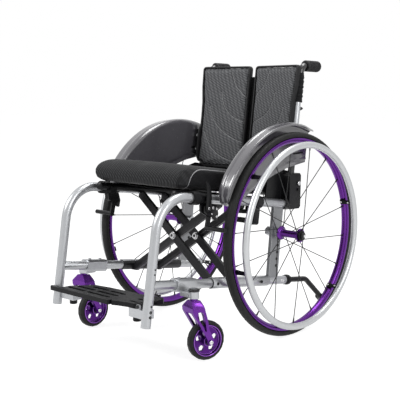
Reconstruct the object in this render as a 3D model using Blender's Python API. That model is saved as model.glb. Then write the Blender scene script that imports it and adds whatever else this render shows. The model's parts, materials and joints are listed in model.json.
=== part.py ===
"""Folding wheelchair with a double cross brace, side guards, flip-up footplate and one anti-tip wheel.

Metres, +Z up. The chair faces -Y and its left side is +X. Shapes are written in the drawing frame: Z = 0
is the floor, and Y = 0 is the datum that the side frames are drawn from, a little behind the rear axle. The
empty "chair" then moves that frame so that the middle of the whole chair's floor area is the origin.

The seat rails, the lower tubes and every hinge of the folding linkage slope down to the rear by
FRAME_SLOPE. Parts that lie along them are written in the rail frame: x across, t along the rail
(t = 0 at the datum, negative to the front) and h above the rail's centre line.

The chair folds like this: pair A of the brace turns about the right lower tube, pair B turns about the
centre bolts by twice that angle the other way, and the left side frame turns back about its own lower
tube, so it stays upright while it moves in. The seat tubes ride up on the top ends of the pairs.
"""
import math

import bmesh
import bpy
from mathutils import Matrix, Vector

# Wheels
WHEEL_RADIUS = 0.295
WHEEL_SIDES = 36
AXLE_Y = -0.0125
AXLE_Z = WHEEL_RADIUS * math.cos(math.pi / WHEEL_SIDES)
WHEEL_X = 0.244
TYRE_HALF = 0.0125
RIM_OUTER = 0.277
RIM_INNER = 0.2615
RIM_HALF = 0.0118
HANDRIM_RADIUS = 0.2587
HANDRIM_TUBE = 0.0095
HANDRIM_X = WHEEL_X + 0.0420
HANDRIM_TABS = 6
SPOKES = 18
SPOKE_RADIUS = 0.0012
HUB_INNER_X = 0.2020
HUB_OUTER_X = 0.2610
HUB_FLANGE = 0.0200
AXLE_PIN = 0.0060

# Casters
CASTER_RADIUS = 0.0525
CASTER_SIDES = 20
CASTER_Z = CASTER_RADIUS * math.cos(math.pi / CASTER_SIDES)
CASTER_RIM = 0.0423
STEM_X = 0.2226
STEM_Y = -0.3992
STEM_RADIUS = 0.0065
CASTER_TRAIL = 0.0366
LEFT_CASTER_SWIVEL = -17.6
CROWN_TOP = 0.1615
STEM_TOP = 0.1830
FORK_OUTER = 0.0298
FORK_INNER = 0.0172

# Side frames
FRAME_X = 0.1797
TUBE = 0.0127
TUBE_SIDES = 16
FRAME_SLOPE = math.radians(6.7)
RAIL_DATUM_Z = 0.3768
RAIL_TO_LOWER = 0.2267
FOOT_END = (-0.5290, 0.1035)
KNEE = (-0.4835, RAIL_DATUM_Z + 0.4835 * math.tan(FRAME_SLOPE))
KNEE_RADIUS = 0.0950
RAIL_END_Y = 0.0290
LOWER_TUBE_T = (-0.4922, 0.0720)
PLUG = 0.0096
GAP = 0.0003
RUNNING = 0.0004

# Cross brace and seat
BOLT_H = -0.1181
BAR_SLOPE = math.radians(35.5)
BAR_WIDTH = 0.0230
BAR_THICK = 0.0104
BAR_OFFSET = 0.0068
CROSSING_T = (-0.2305, -0.1358)
SLEEVE = 0.0147
SLEEVE_T = (-0.2675, -0.0209)
SEAT_TUBE = 0.0115
SEAT_TUBE_X = 0.1494
SEAT_TUBE_H = 0.0042
SEAT_TUBE_T = (-0.4055, -0.0104)
CUSHION_T = (-0.4138, 0.0230)
CUSHION_X = 0.1735
CUSHION_H = (0.0193, 0.0784)

# Back
CANE = 0.0099
CANE_FOOT_Z = 0.3615
CANE_DATUM = (0.0557, 0.4389)
CANE_LEAN = 0.114
HANDLE_Z = 0.7790
GRIP = 0.0167
BACK_LOW_Z = 0.4700
BACK_TOP_Z = 0.7815
HEM_Z = (0.6750, 0.7480)
SLING_DEPTH = (-0.0089, -0.0047)
SLEEVE_OF_SLING = 0.0129
BACK_SAG = 0.0221
PAD_INNER_X = 0.0112
PAD_THICK = 0.0154
CLAMP_Z = (0.4995, 0.5810)
CLAMP_HALF = 0.0157
BRACKET_PLATE_X = (0.1628, 0.1662)
BRACKET_TOP_Z = 0.4765

# Side guard
GUARD_X = (0.2033, 0.2069)
GUARD_RADIUS = (0.3168, 0.3204)
GUARD_FLANGE_X = 0.2470
GUARD_FRONT = math.radians(-64)
GUARD_REAR = math.radians(22)

# Footplate
PLATE_Z = (0.1453, 0.1573)
HINGE_X = 0.1463
HINGE_Z = 0.1513
BARREL = 0.0060
BARREL_Y = (-0.5188, -0.5032)
BRACKET_TOP = 0.1447

# The chair's floor area, from the footplate's front edge to the rear tyre
FRONT_Y = -0.5507
REAR_Y = AXLE_Y + AXLE_Z

RAIL_FRAME = Matrix.Translation((0, 0, RAIL_DATUM_Z)) @ Matrix.Rotation(-FRAME_SLOPE, 4, "X")


def rail_point(x, t, h):
    """A point of the rail frame, in the drawing frame."""
    return RAIL_FRAME @ Vector((x, t, h))


def rail_z(y):
    """Height of the seat rail's centre line."""
    return RAIL_DATUM_Z - y * math.tan(FRAME_SLOPE)


def cane_y(z):
    """Where the back canes' centre lines are at a height."""
    return CANE_DATUM[0] + CANE_LEAN * (z - CANE_DATUM[1])


def on_canes(mesh):
    """Leans a mesh that was drawn with its depth counted from the back canes' plane."""
    lean = Matrix.Identity(4)
    lean[1][2] = CANE_LEAN
    lean[1][3] = cane_y(0)
    mesh.transform(lean)
    return mesh


def polar(radius, angle):
    return radius * math.cos(angle), radius * math.sin(angle)


# Materials


def material(name, colour, roughness, metallic):
    found = bpy.data.materials.get(name)
    if found:
        return found
    made = bpy.data.materials.new(name)
    made.use_nodes = True
    shader = made.node_tree.nodes["Principled BSDF"]
    shader.inputs["Base Color"].default_value = (*colour, 1.0)
    shader.inputs["Roughness"].default_value = roughness
    shader.inputs["Metallic"].default_value = metallic
    return made


def silver():
    return material("silver_paint", (0.62, 0.64, 0.66), 0.32, 0.7)


def purple():
    return material("purple_anodised", (0.13, 0.03, 0.30), 0.28, 0.9)


def black():
    return material("black_paint", (0.02, 0.02, 0.022), 0.42, 0.1)


def rubber():
    return material("black_rubber", (0.025, 0.025, 0.025), 0.85, 0.0)


def plastic():
    return material("black_plastic", (0.035, 0.035, 0.038), 0.55, 0.0)


def guard_grey():
    return material("grey_guard", (0.16, 0.16, 0.17), 0.25, 0.0)


def chrome():
    return material("handrim_silver", (0.75, 0.76, 0.78), 0.2, 0.9)


def steel():
    return material("steel", (0.55, 0.55, 0.56), 0.3, 1.0)


def black_cloth():
    return material("black_cloth", (0.018, 0.018, 0.02), 0.9, 0.0)


def grey_mesh():
    return material("grey_mesh", (0.10, 0.10, 0.105), 0.9, 0.0)


# Placing: every moving body hangs on an empty that stands on its joint's axis

PLACES = {}


def pivot(name, place, parent=None, swivel=0.0):
    """An empty at a place of the drawing frame. swivel turns what hangs on it about Z, in degrees."""
    empty = bpy.data.objects.new(name, None)
    bpy.context.scene.collection.objects.link(empty)
    PLACES[name] = Vector(place)
    if parent:
        empty.parent = bpy.data.objects[parent]
        empty.location = PLACES[name] - PLACES[parent]
    else:
        empty.location = PLACES[name]
    empty.rotation_euler.z = math.radians(swivel)
    return name


def add(name, mesh, look, parent, bevel=0.0):
    """Turns a bmesh of the drawing frame into a named object that hangs on its pivot."""
    bmesh.ops.remove_doubles(mesh, verts=mesh.verts, dist=1e-6)
    bmesh.ops.recalc_face_normals(mesh, faces=mesh.faces)
    mesh.transform(Matrix.Translation(-PLACES[parent]))
    data = bpy.data.meshes.new(name)
    mesh.to_mesh(data)
    mesh.free()
    data.materials.append(look)
    data.shade_smooth()
    data.set_sharp_from_angle(angle=math.radians(38))
    obj = bpy.data.objects.new(name, data)
    bpy.context.scene.collection.objects.link(obj)
    obj.parent = bpy.data.objects[parent]
    if bevel:
        edge = obj.modifiers.new("edges", "BEVEL")
        edge.width = bevel
        edge.segments = 1
        edge.limit_method = "ANGLE"
        edge.angle_limit = math.radians(50)
    return obj


# Shapes: each function returns a bmesh in the drawing frame


def mirrored(mesh, side):
    """side is +1 for the left of the chair and -1 for the right."""
    if side < 0:
        mesh.transform(Matrix.Scale(-1, 4, (1, 0, 0)))
        bmesh.ops.reverse_faces(mesh, faces=mesh.faces)
    return mesh


def on_rail(mesh):
    mesh.transform(RAIL_FRAME)
    return mesh


def prism(outline, low, high, axis="X"):
    """A flat outline pushed through from low to high. The outline lies in the two other axes, in order."""
    order = {"X": (2, 0, 1), "Y": (0, 2, 1), "Z": (0, 1, 2)}[axis]
    mesh = bmesh.new()
    corners = []
    for a, b in outline:
        flat = (a, b, low)
        corners.append(mesh.verts.new([flat[i] for i in order]))
    face = mesh.faces.new(corners)
    pushed = bmesh.ops.extrude_face_region(mesh, geom=[face])["geom"]
    step = Vector([(0, 0, high - low)[i] for i in order])
    moved = [item for item in pushed if isinstance(item, bmesh.types.BMVert)]
    bmesh.ops.translate(mesh, verts=moved, vec=step)
    bmesh.ops.recalc_face_normals(mesh, faces=mesh.faces)
    return mesh


def box(low, high):
    outline = [(low[0], low[1]), (high[0], low[1]), (high[0], high[1]), (low[0], high[1])]
    return prism(outline, low[2], high[2], "Z")


def circle(centre, radius, sides=16, start=0.0):
    points = []
    for i in range(sides):
        a, b = polar(radius, start + 2 * math.pi * i / sides)
        points.append((centre[0] + a, centre[1] + b))
    return points


def rod(start, end, radius, sides=12):
    """A round bar between two points."""
    return sweep([Vector(start), Vector(end)], radius, sides)


def sweep(path, radius, sides=12):
    """A round tube along a path that lies in one plane of constant x, or is straight."""
    mesh = bmesh.new()
    rings = []
    for i, point in enumerate(path):
        before = path[max(i - 1, 0)]
        after = path[min(i + 1, len(path) - 1)]
        along = (after - before).normalized()
        side = Vector((1, 0, 0)) if abs(along.x) < 0.9 else Vector((0, 1, 0))
        side = (side - along * side.dot(along)).normalized()
        up = along.cross(side)
        ring = []
        for k in range(sides):
            a, b = polar(radius, 2 * math.pi * (k + 0.5) / sides)
            ring.append(mesh.verts.new(point + side * a + up * b))
        rings.append(ring)
    for low, high in zip(rings, rings[1:]):
        for k in range(sides):
            mesh.faces.new((low[k], low[(k + 1) % sides], high[(k + 1) % sides], high[k]))
    mesh.faces.new(list(reversed(rings[0])))
    mesh.faces.new(rings[-1])
    bmesh.ops.recalc_face_normals(mesh, faces=mesh.faces)
    return mesh


def rounded_path(corners, radius, steps):
    """A polyline whose inner corners are replaced by arcs."""
    points = [Vector(corners[0])]
    for before, corner, after in zip(corners, corners[1:], corners[2:]):
        corner = Vector(corner)
        back = (Vector(before) - corner).normalized()
        ahead = (Vector(after) - corner).normalized()
        half = back.angle(ahead) / 2
        tangent = radius / math.tan(half)
        middle = corner + (back + ahead).normalized() * (radius / math.sin(half))
        first = corner + back * tangent - middle
        last = corner + ahead * tangent - middle
        axis = first.cross(last).normalized()
        turn = first.angle(last)
        for i in range(steps + 1):
            points.append(middle + Matrix.Rotation(turn * i / steps, 3, axis) @ first)
    points.append(Vector(corners[-1]))
    return points


def rounded_outline(corners, radius, steps=3):
    """A closed outline with every corner rounded."""
    points = []
    count = len(corners)
    for i in range(count):
        before = Vector((*corners[i - 1], 0))
        corner = Vector((*corners[i], 0))
        after = Vector((*corners[(i + 1) % count], 0))
        reach = min((before - corner).length, (after - corner).length) * 0.45
        half = (before - corner).angle(after - corner) / 2
        used = min(radius, reach * math.tan(half))
        for point in rounded_path([before, corner, after], used, steps)[1:-1]:
            points.append((point.x, point.y))
    return points


def lathe(profile, centre, sides, axis="X", start=None):
    """A profile of (radius, along) points spun about an axis through the centre.

    A profile that starts and ends at radius 0 makes a solid, any other is closed into a ring.
    """
    start = math.pi / sides if start is None else start
    mesh = bmesh.new()
    across, up = {"X": ((0, 1, 0), (0, 0, 1)), "Z": ((1, 0, 0), (0, 1, 0)), "Y": ((0, 0, 1), (1, 0, 0))}[axis]
    across, up = Vector(across), Vector(up)
    along = {"X": Vector((1, 0, 0)), "Y": Vector((0, 1, 0)), "Z": Vector((0, 0, 1))}[axis]
    middle = Vector(centre)
    rings = []
    for radius, height in profile:
        if radius == 0:
            rings.append([mesh.verts.new(middle + along * height)])
            continue
        ring = []
        for k in range(sides):
            a, b = polar(radius, start + 2 * math.pi * k / sides)
            ring.append(mesh.verts.new(middle + across * a + up * b + along * height))
        rings.append(ring)
    pairs = list(zip(rings, rings[1:]))
    if profile[0][0]:
        pairs.append((rings[-1], rings[0]))
    for low, high in pairs:
        for k in range(sides):
            n = (k + 1) % sides
            if len(low) == 1:
                mesh.faces.new((low[0], high[n], high[k]))
            elif len(high) == 1:
                mesh.faces.new((low[k], low[n], high[0]))
            else:
                mesh.faces.new((low[k], low[n], high[n], high[k]))
    bmesh.ops.recalc_face_normals(mesh, faces=mesh.faces)
    return mesh


def combine(operation, body, tools):
    """Boolean of a body with each tool in turn, with the exact solver."""
    scene = bpy.context.scene
    used = []
    for mesh in [body, *tools]:
        data = bpy.data.meshes.new("shape")
        mesh.to_mesh(data)
        mesh.free()
        obj = bpy.data.objects.new("shape", data)
        scene.collection.objects.link(obj)
        used.append(obj)
    for tool in used[1:]:
        step = used[0].modifiers.new("step", "BOOLEAN")
        step.operation = operation
        step.solver = "EXACT"
        step.object = tool
    graph = bpy.context.evaluated_depsgraph_get()
    result = bmesh.new()
    evaluated = used[0].evaluated_get(graph)
    result.from_mesh(evaluated.to_mesh())
    evaluated.to_mesh_clear()
    for obj in used:
        data = obj.data
        bpy.data.objects.remove(obj, do_unlink=True)
        bpy.data.meshes.remove(data)
    bmesh.ops.remove_doubles(result, verts=result.verts, dist=2e-6)
    bmesh.ops.dissolve_degenerate(result, dist=2e-6, edges=result.edges)
    return result


def join(body, *tools):
    return combine("UNION", body, tools)


def cut(body, *tools):
    return combine("DIFFERENCE", body, tools)


# Side frames


def side_path(x):
    """The bent tube: up from the footrest end, round the knee and back along the rail."""
    return rounded_path([(x, *FOOT_END), (x, *KNEE), (x, RAIL_END_Y, rail_z(RAIL_END_Y))], KNEE_RADIUS, 6)


def front_tube_y(z):
    return FOOT_END[0] + (z - FOOT_END[1]) * (KNEE[0] - FOOT_END[0]) / (KNEE[1] - FOOT_END[1])


def side_tube(side):
    body = sweep(side_path(FRAME_X), TUBE, TUBE_SIDES)
    low = Vector((FRAME_X, front_tube_y(0.09), 0.09))
    high = Vector((FRAME_X, front_tube_y(0.1306), 0.1306))
    return mirrored(cut(body, rod(low, high, TUBE - 0.0021, 12)), side)


def rail_rod(radius, sides=TUBE_SIDES):
    """The rail's line, as a cutter for what is coped to it or clamps it."""
    return rod(rail_point(FRAME_X, -0.42, 0), rail_point(FRAME_X, 0.06, 0), radius, sides)


def lower_rod(radius, start_t, end_t, sides=TUBE_SIDES):
    start = rail_point(FRAME_X, start_t, -RAIL_TO_LOWER)
    end = rail_point(FRAME_X, end_t, -RAIL_TO_LOWER)
    return rod(start, end, radius, sides)


def lower_frame(side):
    """Lower tube, drop plate with its row of height holes, and the sleeve that takes the axle."""
    tube = lower_rod(TUBE, *LOWER_TUBE_T)
    centre_low = rail_point(FRAME_X, 0.0037, -RAIL_TO_LOWER + 0.0063)
    centre_top = rail_point(FRAME_X, -0.0017, 0.0)
    half = 0.0219
    plate = prism([(centre_low.y - half, centre_low.z), (centre_low.y + half, centre_low.z),
                   (centre_top.y + half, centre_top.z), (centre_top.y - half, centre_top.z)],
                  FRAME_X - 0.0052, FRAME_X + 0.0052)
    sleeve = rod((0.1588, AXLE_Y, AXLE_Z), (0.1946, AXLE_Y, AXLE_Z), 0.0120, 12)
    nut = rod((0.1526, AXLE_Y, AXLE_Z), (0.1641, AXLE_Y, AXLE_Z), 0.0136, 6)
    axle_bore = rod((0.1463, AXLE_Y, AXLE_Z), (0.1985, AXLE_Y, AXLE_Z), AXLE_PIN + RUNNING, 12)
    low = Vector((FRAME_X, front_tube_y(0.10), 0.10))
    high = Vector((FRAME_X, front_tube_y(0.30), 0.30))
    tools = [rail_rod(TUBE + GAP), axle_bore, rod(low, high, TUBE + GAP, TUBE_SIDES)]
    for i in range(5):
        z = 0.2738 - 0.0199 * i
        y = centre_low.y + (z - centre_low.z) * (centre_top.y - centre_low.y) / (centre_top.z - centre_low.z)
        tools.append(rod((0.1672, y + 0.0094, z), (0.1923, y + 0.0094, z), 0.0033, 6))
    parts = [plate, sleeve, nut]
    end = LOWER_TUBE_T[1]
    if side > 0:
        tools.append(lower_rod(PLUG / math.cos(math.pi / 12) + GAP, end - 0.0470, end + 0.0104, 12))
    else:
        parts.append(lower_rod(0.0155, end - 0.0031, end + 0.0031, 12))
    return mirrored(cut(join(tube, *parts), *tools), side)


def saddle_blank(t, half, drop):
    """Clamp round the rail with the cradle's block beside it."""
    ring = prism(circle((FRAME_X, 0), 0.0183, 16), t - half, t + half, "Y")
    block = prism([(0.1346, drop), (0.1777, drop), (0.1777, SEAT_TUBE_H), (0.1346, SEAT_TUBE_H)],
                  t - half + 0.0005, t + half - 0.0005, "Y")
    return join(ring, block)


def saddle_cutters(t):
    """The cradle's open channel for the seat tube, and the bore for the rail."""
    low, high = t - 0.03, t + 0.03
    radius = SEAT_TUBE + RUNNING
    left, right = SEAT_TUBE_X - radius, SEAT_TUBE_X + radius
    channel = prism(circle((SEAT_TUBE_X, SEAT_TUBE_H), radius, 16, math.pi / 16), low, high, "Y")
    mouth = prism([(left, SEAT_TUBE_H), (right, SEAT_TUBE_H), (right, 0.05), (left, 0.05)], low, high, "Y")
    bore = prism(circle((FRAME_X, 0), TUBE + GAP, 16, math.pi / 16), low, high, "Y")
    return [channel, mouth, bore]


def front_saddle(side):
    t = -0.3616
    return mirrored(on_rail(cut(saddle_blank(t, 0.0125, -0.0131), *saddle_cutters(t))), side)


def rear_saddle(side):
    """The rear cradle also has a hanger with an arm, and the peg that stops the open brace."""
    t = -0.1014
    body = saddle_blank(t, 0.0125, -0.0131)
    outline = [(0.1735, -0.0104), (0.1860, -0.0104), (0.1860, -0.0606), (0.1818, -0.0648), (0.1735, -0.0648)]
    hanger = prism(outline, t - 0.0115, t + 0.0115, "Y")
    outline = [(0.1160, -0.0627), (0.1777, -0.0627), (0.1777, -0.0481), (0.1160, -0.0481)]
    arm = prism(outline, t - 0.0104, t + 0.0104, "Y")
    peg_radius = 0.0063
    touch_x = 0.1450
    normal = Vector((math.sin(BAR_SLOPE), -math.cos(BAR_SLOPE)))
    peg_place = Vector((touch_x, BOLT_H + touch_x * math.tan(BAR_SLOPE)))
    peg_place += normal * (BAR_WIDTH / 2 + peg_radius + GAP)
    peg_start = CROSSING_T[1] - BAR_OFFSET - BAR_THICK / 2
    peg = prism(circle(peg_place, peg_radius, 10), peg_start, t + 0.0094, "Y")
    left, right = peg_place.x - 0.0058, peg_place.x + 0.0058
    outline = [(left, peg_place.y), (right, peg_place.y), (right, -0.0120), (left, -0.0120)]
    lug = prism(outline, t - 0.0104, t + 0.0094, "Y")
    return mirrored(on_rail(cut(join(body, hanger, arm, lug, peg), *saddle_cutters(t))), side)


# Cross brace


def brace_bar(t):
    """One flat bar of pair A, from the right lower tube up to the left seat tube."""
    along = Vector((math.cos(BAR_SLOPE), math.sin(BAR_SLOPE)))
    across = Vector((-along.y, along.x)) * (BAR_WIDTH / 2)
    bolt = Vector((0, BOLT_H))
    low = bolt - along * ((FRAME_X - 0.0063) / math.cos(BAR_SLOPE))
    high = bolt + along * ((SEAT_TUBE_X + 0.0042) / math.cos(BAR_SLOPE))
    outline = [low - across, high - across, high + across, low + across]
    outline = rounded_outline([tuple(point) for point in outline], 0.0084)
    return prism(outline, t - BAR_THICK / 2, t + BAR_THICK / 2, "Y")


def brace_pair(side):
    """Both bars of a pair and the sleeve that turns on the lower tube. side +1 is pair A.

    The bars' low ends are cut off level with the sleeve's underside.
    """
    offset = BAR_OFFSET * side
    lower = (-FRAME_X, -RAIL_TO_LOWER)
    sleeve = prism(circle(lower, SLEEVE, 16), *SLEEVE_T, "Y")
    body = join(sleeve, *[brace_bar(t + offset) for t in CROSSING_T])
    bore = prism(circle(lower, TUBE + RUNNING, 16, math.pi / 16), -0.4, 0.1, "Y")
    cope = prism(circle((SEAT_TUBE_X, SEAT_TUBE_H), SEAT_TUBE + GAP, 16, math.pi / 16), -0.4, 0.1, "Y")
    underside = -RAIL_TO_LOWER - SLEEVE + 0.0004
    outline = [(-0.22, -0.30), (-0.10, -0.30), (-0.10, underside), (-0.22, underside)]
    body = cut(body, bore, cope, prism(outline, -0.4, 0.1, "Y"))
    if side > 0:
        holes = [prism(circle((0, BOLT_H), 0.0050, 8), t - 0.02, t + 0.02, "Y") for t in CROSSING_T]
        return on_rail(cut(body, *holes))
    bolts = []
    for t in CROSSING_T:
        front = t - BAR_OFFSET - BAR_THICK / 2
        back = t + BAR_OFFSET + BAR_THICK / 2
        bolts.append(prism(circle((0, BOLT_H), 0.0044, 8), front - 0.0010, back + 0.0063, "Y"))
        bolts.append(prism(circle((0, BOLT_H), 0.0082, 10), front - 0.0047, front + 0.0010, "Y"))
        bolts.append(prism(circle((0, BOLT_H), 0.0082, 6), back + GAP, back + 0.0057, "Y"))
    return on_rail(mirrored(join(body, *bolts), -1))


def seat_tube(side):
    """Tube with a domed front plug and a chamfered rear one."""
    low, high = SEAT_TUBE_T
    profile = [(0, low - 0.0042), (0.0073, low - 0.0037), (SEAT_TUBE, low), (SEAT_TUBE, high)]
    profile += [(0.0084, high + 0.0031), (0, high + 0.0031)]
    return mirrored(on_rail(lathe(profile, (SEAT_TUBE_X, 0, SEAT_TUBE_H), 16, "Y")), side)


# Casters and footrest


def caster_housing(side):
    """Clamp on the lower tube with the bearing tube for the fork's stem outboard of it."""
    h = -RAIL_TO_LOWER
    outline = [(0.1632, h - 0.0170), (0.1962, h - 0.0170), (0.1962, h + 0.0165), (0.1632, h + 0.0165)]
    clamp = prism(rounded_outline(outline, 0.0052, 1), -0.4065, -0.3349, "Y")
    bolts = [rod((FRAME_X, t, h + 0.0154), (FRAME_X, t, h + 0.0200), 0.0044, 6) for t in (-0.3898, -0.3516)]
    clamp = on_rail(join(clamp, *bolts))
    profile = [(0, 0.1662), (0.0132, 0.1662), (0.0132, 0.1845), (0.0141, 0.1845), (0.0141, 0.1880)]
    profile += [(0.0110, 0.1912), (0, 0.1912)]
    head = lathe(profile, (STEM_X, STEM_Y, 0), 12, "Z")
    web = box((0.1885, STEM_Y - 0.0170, 0.1702), (STEM_X, STEM_Y + 0.0170, 0.1832))
    bore = rod((STEM_X, STEM_Y, 0.1567), (STEM_X, STEM_Y, STEM_TOP + 2 * GAP), STEM_RADIUS + RUNNING, 12)
    tube = lower_rod(TUBE + GAP, -0.45, -0.30)
    return mirrored(cut(join(clamp, head, web), bore, tube), side)


def leg_outline(points):
    return [(STEM_Y + y, z) for y, z in points]


def caster_fork(side):
    """Crown with stem, two slotted legs that trail to the wheel, and the axle bolt across them."""
    outline = [(-0.0160, 0.1567), (0.0150, 0.1567), (0.0175, 0.1390), (0.0243, 0.1170), (0.0310, 0.0859)]
    outline += [(0.0458, 0.0590), (0.0440, 0.0425), (0.0296, 0.0425), (0.0272, 0.0590), (-0.0184, 0.1330)]
    outline = rounded_outline(leg_outline(outline), 0.0073, 1)
    legs = []
    for low, high in ((-FORK_OUTER, -FORK_INNER), (FORK_INNER, FORK_OUTER)):
        legs.append(prism(outline, STEM_X + low, STEM_X + high))

    tapers = []
    for sign in (-1, 1):
        top = STEM_X + sign * (FORK_OUTER + 0.0021)
        foot = STEM_X + sign * (FORK_OUTER - 0.0047)
        outside = STEM_X + sign * (FORK_OUTER + 0.0063)
        wedge = [(top, 0.1358), (foot, 0.02), (outside, 0.02), (outside, 0.1358)]
        tapers.append(prism(wedge, STEM_Y - 0.05, STEM_Y + 0.08, "Y"))

    top_half = 0.0125
    half = [(top_half, CROWN_TOP), (FORK_OUTER, 0.1421), (FORK_OUTER, 0.1400), (FORK_INNER, 0.1317)]
    outline = [(STEM_X - x, z) for x, z in half] + [(STEM_X + x, z) for x, z in reversed(half)]
    crown = prism(outline, STEM_Y - 0.0188, STEM_Y + 0.0170, "Y")
    left, right = STEM_X - 0.04, STEM_X + 0.04
    outline = [(STEM_X + top_half, CROWN_TOP), (right, 0.1326), (right, 0.1777), (left, 0.1777)]
    outline += [(left, 0.1326), (STEM_X - top_half, CROWN_TOP)]
    above = prism(outline, STEM_Y - 0.05, STEM_Y + 0.05, "Y")
    outline = [(top_half, CROWN_TOP), (0.0235, 0.1311), (0.05, 0.1311), (0.05, 0.1777), (-0.05, 0.1777)]
    outline += [(-0.05, 0.1311), (-0.0240, 0.1311), (-top_half, CROWN_TOP)]
    ends = prism(leg_outline(outline), left, right)

    profile = [(0, 0.1567), (0.0099, 0.1567), (0.0099, 0.1657), (STEM_RADIUS, 0.1657)]
    profile += [(STEM_RADIUS, STEM_TOP), (0, STEM_TOP)]
    stem = lathe(profile, (STEM_X, STEM_Y, 0), 12, "Z")
    half = [(0, 0.0298), (0.0065, 0.0298), (0.0065, 0.0246), (0.0042, 0.0246)]
    profile = [(r, STEM_X - x) for r, x in half] + [(r, STEM_X + x) for r, x in reversed(half)]
    bolt = lathe(profile, (0, STEM_Y + CASTER_TRAIL, CASTER_Z), 8)
    slot = [(-0.0062, 0.1344), (0.0098, 0.1352), (0.0157, 0.1207), (0.0236, 0.0822), (0.0200, 0.0815)]
    slot = leg_outline([*slot, (0.0128, 0.0960), (-0.0058, 0.1230)])
    slots = prism(rounded_outline(slot, 0.0042, 1), left, right)
    body = cut(join(crown, *legs), slots, above, ends, *tapers)
    return mirrored(join(body, stem, bolt), side)


def caster_place(side):
    return Vector((side * STEM_X, STEM_Y + CASTER_TRAIL, CASTER_Z))


def caster_wheel(side):
    """Turned hub and rim with five round windows in the web."""
    half = [(0.0046, -0.0157), (0.0115, -0.0157), (0.0125, -0.0042), (0.0361, -0.0042), (0.0387, -0.0110)]
    half.append((CASTER_RIM, -0.0110))
    profile = half + [(radius, -x) for radius, x in reversed(half)]
    centre = caster_place(1)
    body = lathe(profile, centre, CASTER_SIDES)
    holes = []
    for i in range(5):
        y, z = polar(0.0246, 2 * math.pi * (i + 0.25) / 5)
        holes.append(prism(circle((centre.y + y, centre.z + z), 0.0084, 7), centre.x - 0.02, centre.x + 0.02))
    return mirrored(cut(body, *holes), side)


def caster_tyre(side):
    edge = CASTER_RIM + GAP
    profile = [(edge, -0.0110), (0.0478, -0.0127), (CASTER_RADIUS, -0.0060), (CASTER_RADIUS, 0.0060),
               (0.0478, 0.0127), (edge, 0.0110)]
    return mirrored(lathe(profile, caster_place(1), CASTER_SIDES), side)


def foot_bracket(side):
    """Block on the front tube that carries the footplate. The left one has the hinge's ears."""
    top = BRACKET_TOP if side > 0 else PLATE_Z[0] - GAP
    body = box((0.1129, -0.5256, 0.1217), (0.1756, -0.4964, top))
    bumper = lathe([(0, 0.1097), (0.0089, 0.1097), (0.0104, 0.1123), (0.0104, 0.1223), (0, 0.1223)],
                   (0.1291, -0.5110, 0), 10, "Z")
    parts = [bumper]
    low = Vector((FRAME_X, front_tube_y(0.09), 0.09))
    high = Vector((FRAME_X, front_tube_y(0.18), 0.18))
    tools = [rod(low, high, TUBE + GAP, TUBE_SIDES)]
    if side > 0:
        for y in (-0.5225, -0.4995):
            outline = circle((HINGE_X, HINGE_Z), 0.0065, 10)
            ear = prism(outline, y - 0.0031, y + 0.0031, "Y")
            foot = box((HINGE_X - 0.0065, y - 0.0031, 0.1400), (HINGE_X + 0.0065, y + 0.0031, HINGE_Z))
            parts += [ear, foot]
        tools.append(rod((HINGE_X, -0.54, HINGE_Z), (HINGE_X, -0.47, HINGE_Z), 0.0036, 8))
    return mirrored(cut(join(body, *parts), *tools), side)


def hinge_pin():
    return lathe([(0, -0.5288), (0.0052, -0.5288), (0.0052, -0.5261), (0.0031, -0.5261), (0.0031, -0.4943),
                  (0, -0.4943)], (HINGE_X, 0, HINGE_Z), 8, "Y")


def slot_cutter(x_low, x_high, y, half=0.0058):
    outline = [(x_low, y - half), (x_high, y - half), (x_high, y + half), (x_low, y + half)]
    return prism(rounded_outline(outline, half * 0.98, 1), PLATE_Z[0] - 0.01, PLATE_Z[1] + 0.01, "Z")


def footplate_near():
    """Hinged part with the pocket that the other part slides into."""
    low, high = PLATE_Z
    outline = [(0.0585, -0.5476), (0.0815, -0.5356), (0.1097, -0.5282), (0.1358, -0.5246), (0.1358, -0.4911),
               (0.1494, -0.4870), (0.1494, -0.4337), (0.1306, -0.4243), (0.0846, -0.4368), (0.0585, -0.4379)]
    plate = prism(rounded_outline(outline, 0.0063, 1), low, high, "Z")
    neck = box((0.1306, BARREL_Y[0] + 0.0002, low + 0.0010), (HINGE_X, BARREL_Y[1] - 0.0002, high - 0.0010))
    barrel = prism(circle((HINGE_X, HINGE_Z), BARREL, 12), *BARREL_Y, "Y")
    pocket = box((0.0418, -0.5314, 0.1484), (0.0940, -0.4509, 0.1547))
    bore = prism(circle((HINGE_X, HINGE_Z), 0.0036, 8), -0.52, -0.46, "Y")
    slots = [slot_cutter(0.0998, 0.1311, y, 0.0042) for y in (-0.5100, -0.4807, -0.4556)]
    return cut(join(plate, neck, barrel), pocket, bore, *slots)


def footplate_far():
    """Sliding part: tongue in the near part's pocket, slotted tread, and the lug in front of the far tube."""
    low, high = PLATE_Z
    end = 0.0585 - GAP
    outline = [(-0.1850, -0.5507), (end, -0.5476), (end, -0.4379), (-0.0533, -0.4452), (-0.1035, -0.4535),
               (-0.1450, -0.5121), (-0.1450, -0.5382), (-0.1850, -0.5382)]
    plate = prism(rounded_outline(outline, 0.0042, 1), low, high, "Z")
    tongue = box((end - 0.0104, -0.5309, 0.1488), (0.0920, -0.4514, 0.1542))
    places = [(-0.1003, 0.0382, -0.5225), (-0.0094, 0.0455, -0.5225), (-0.0888, 0.0375, -0.4974)]
    places += [(-0.0010, 0.0432, -0.4974), (-0.0575, 0.0330, -0.4723), (0.0125, 0.0300, -0.4723)]
    slots = [slot_cutter(x - half, x + half, y) for x, half, y in places]
    return cut(join(plate, tongue), *slots)


# Rear wheels


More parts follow.
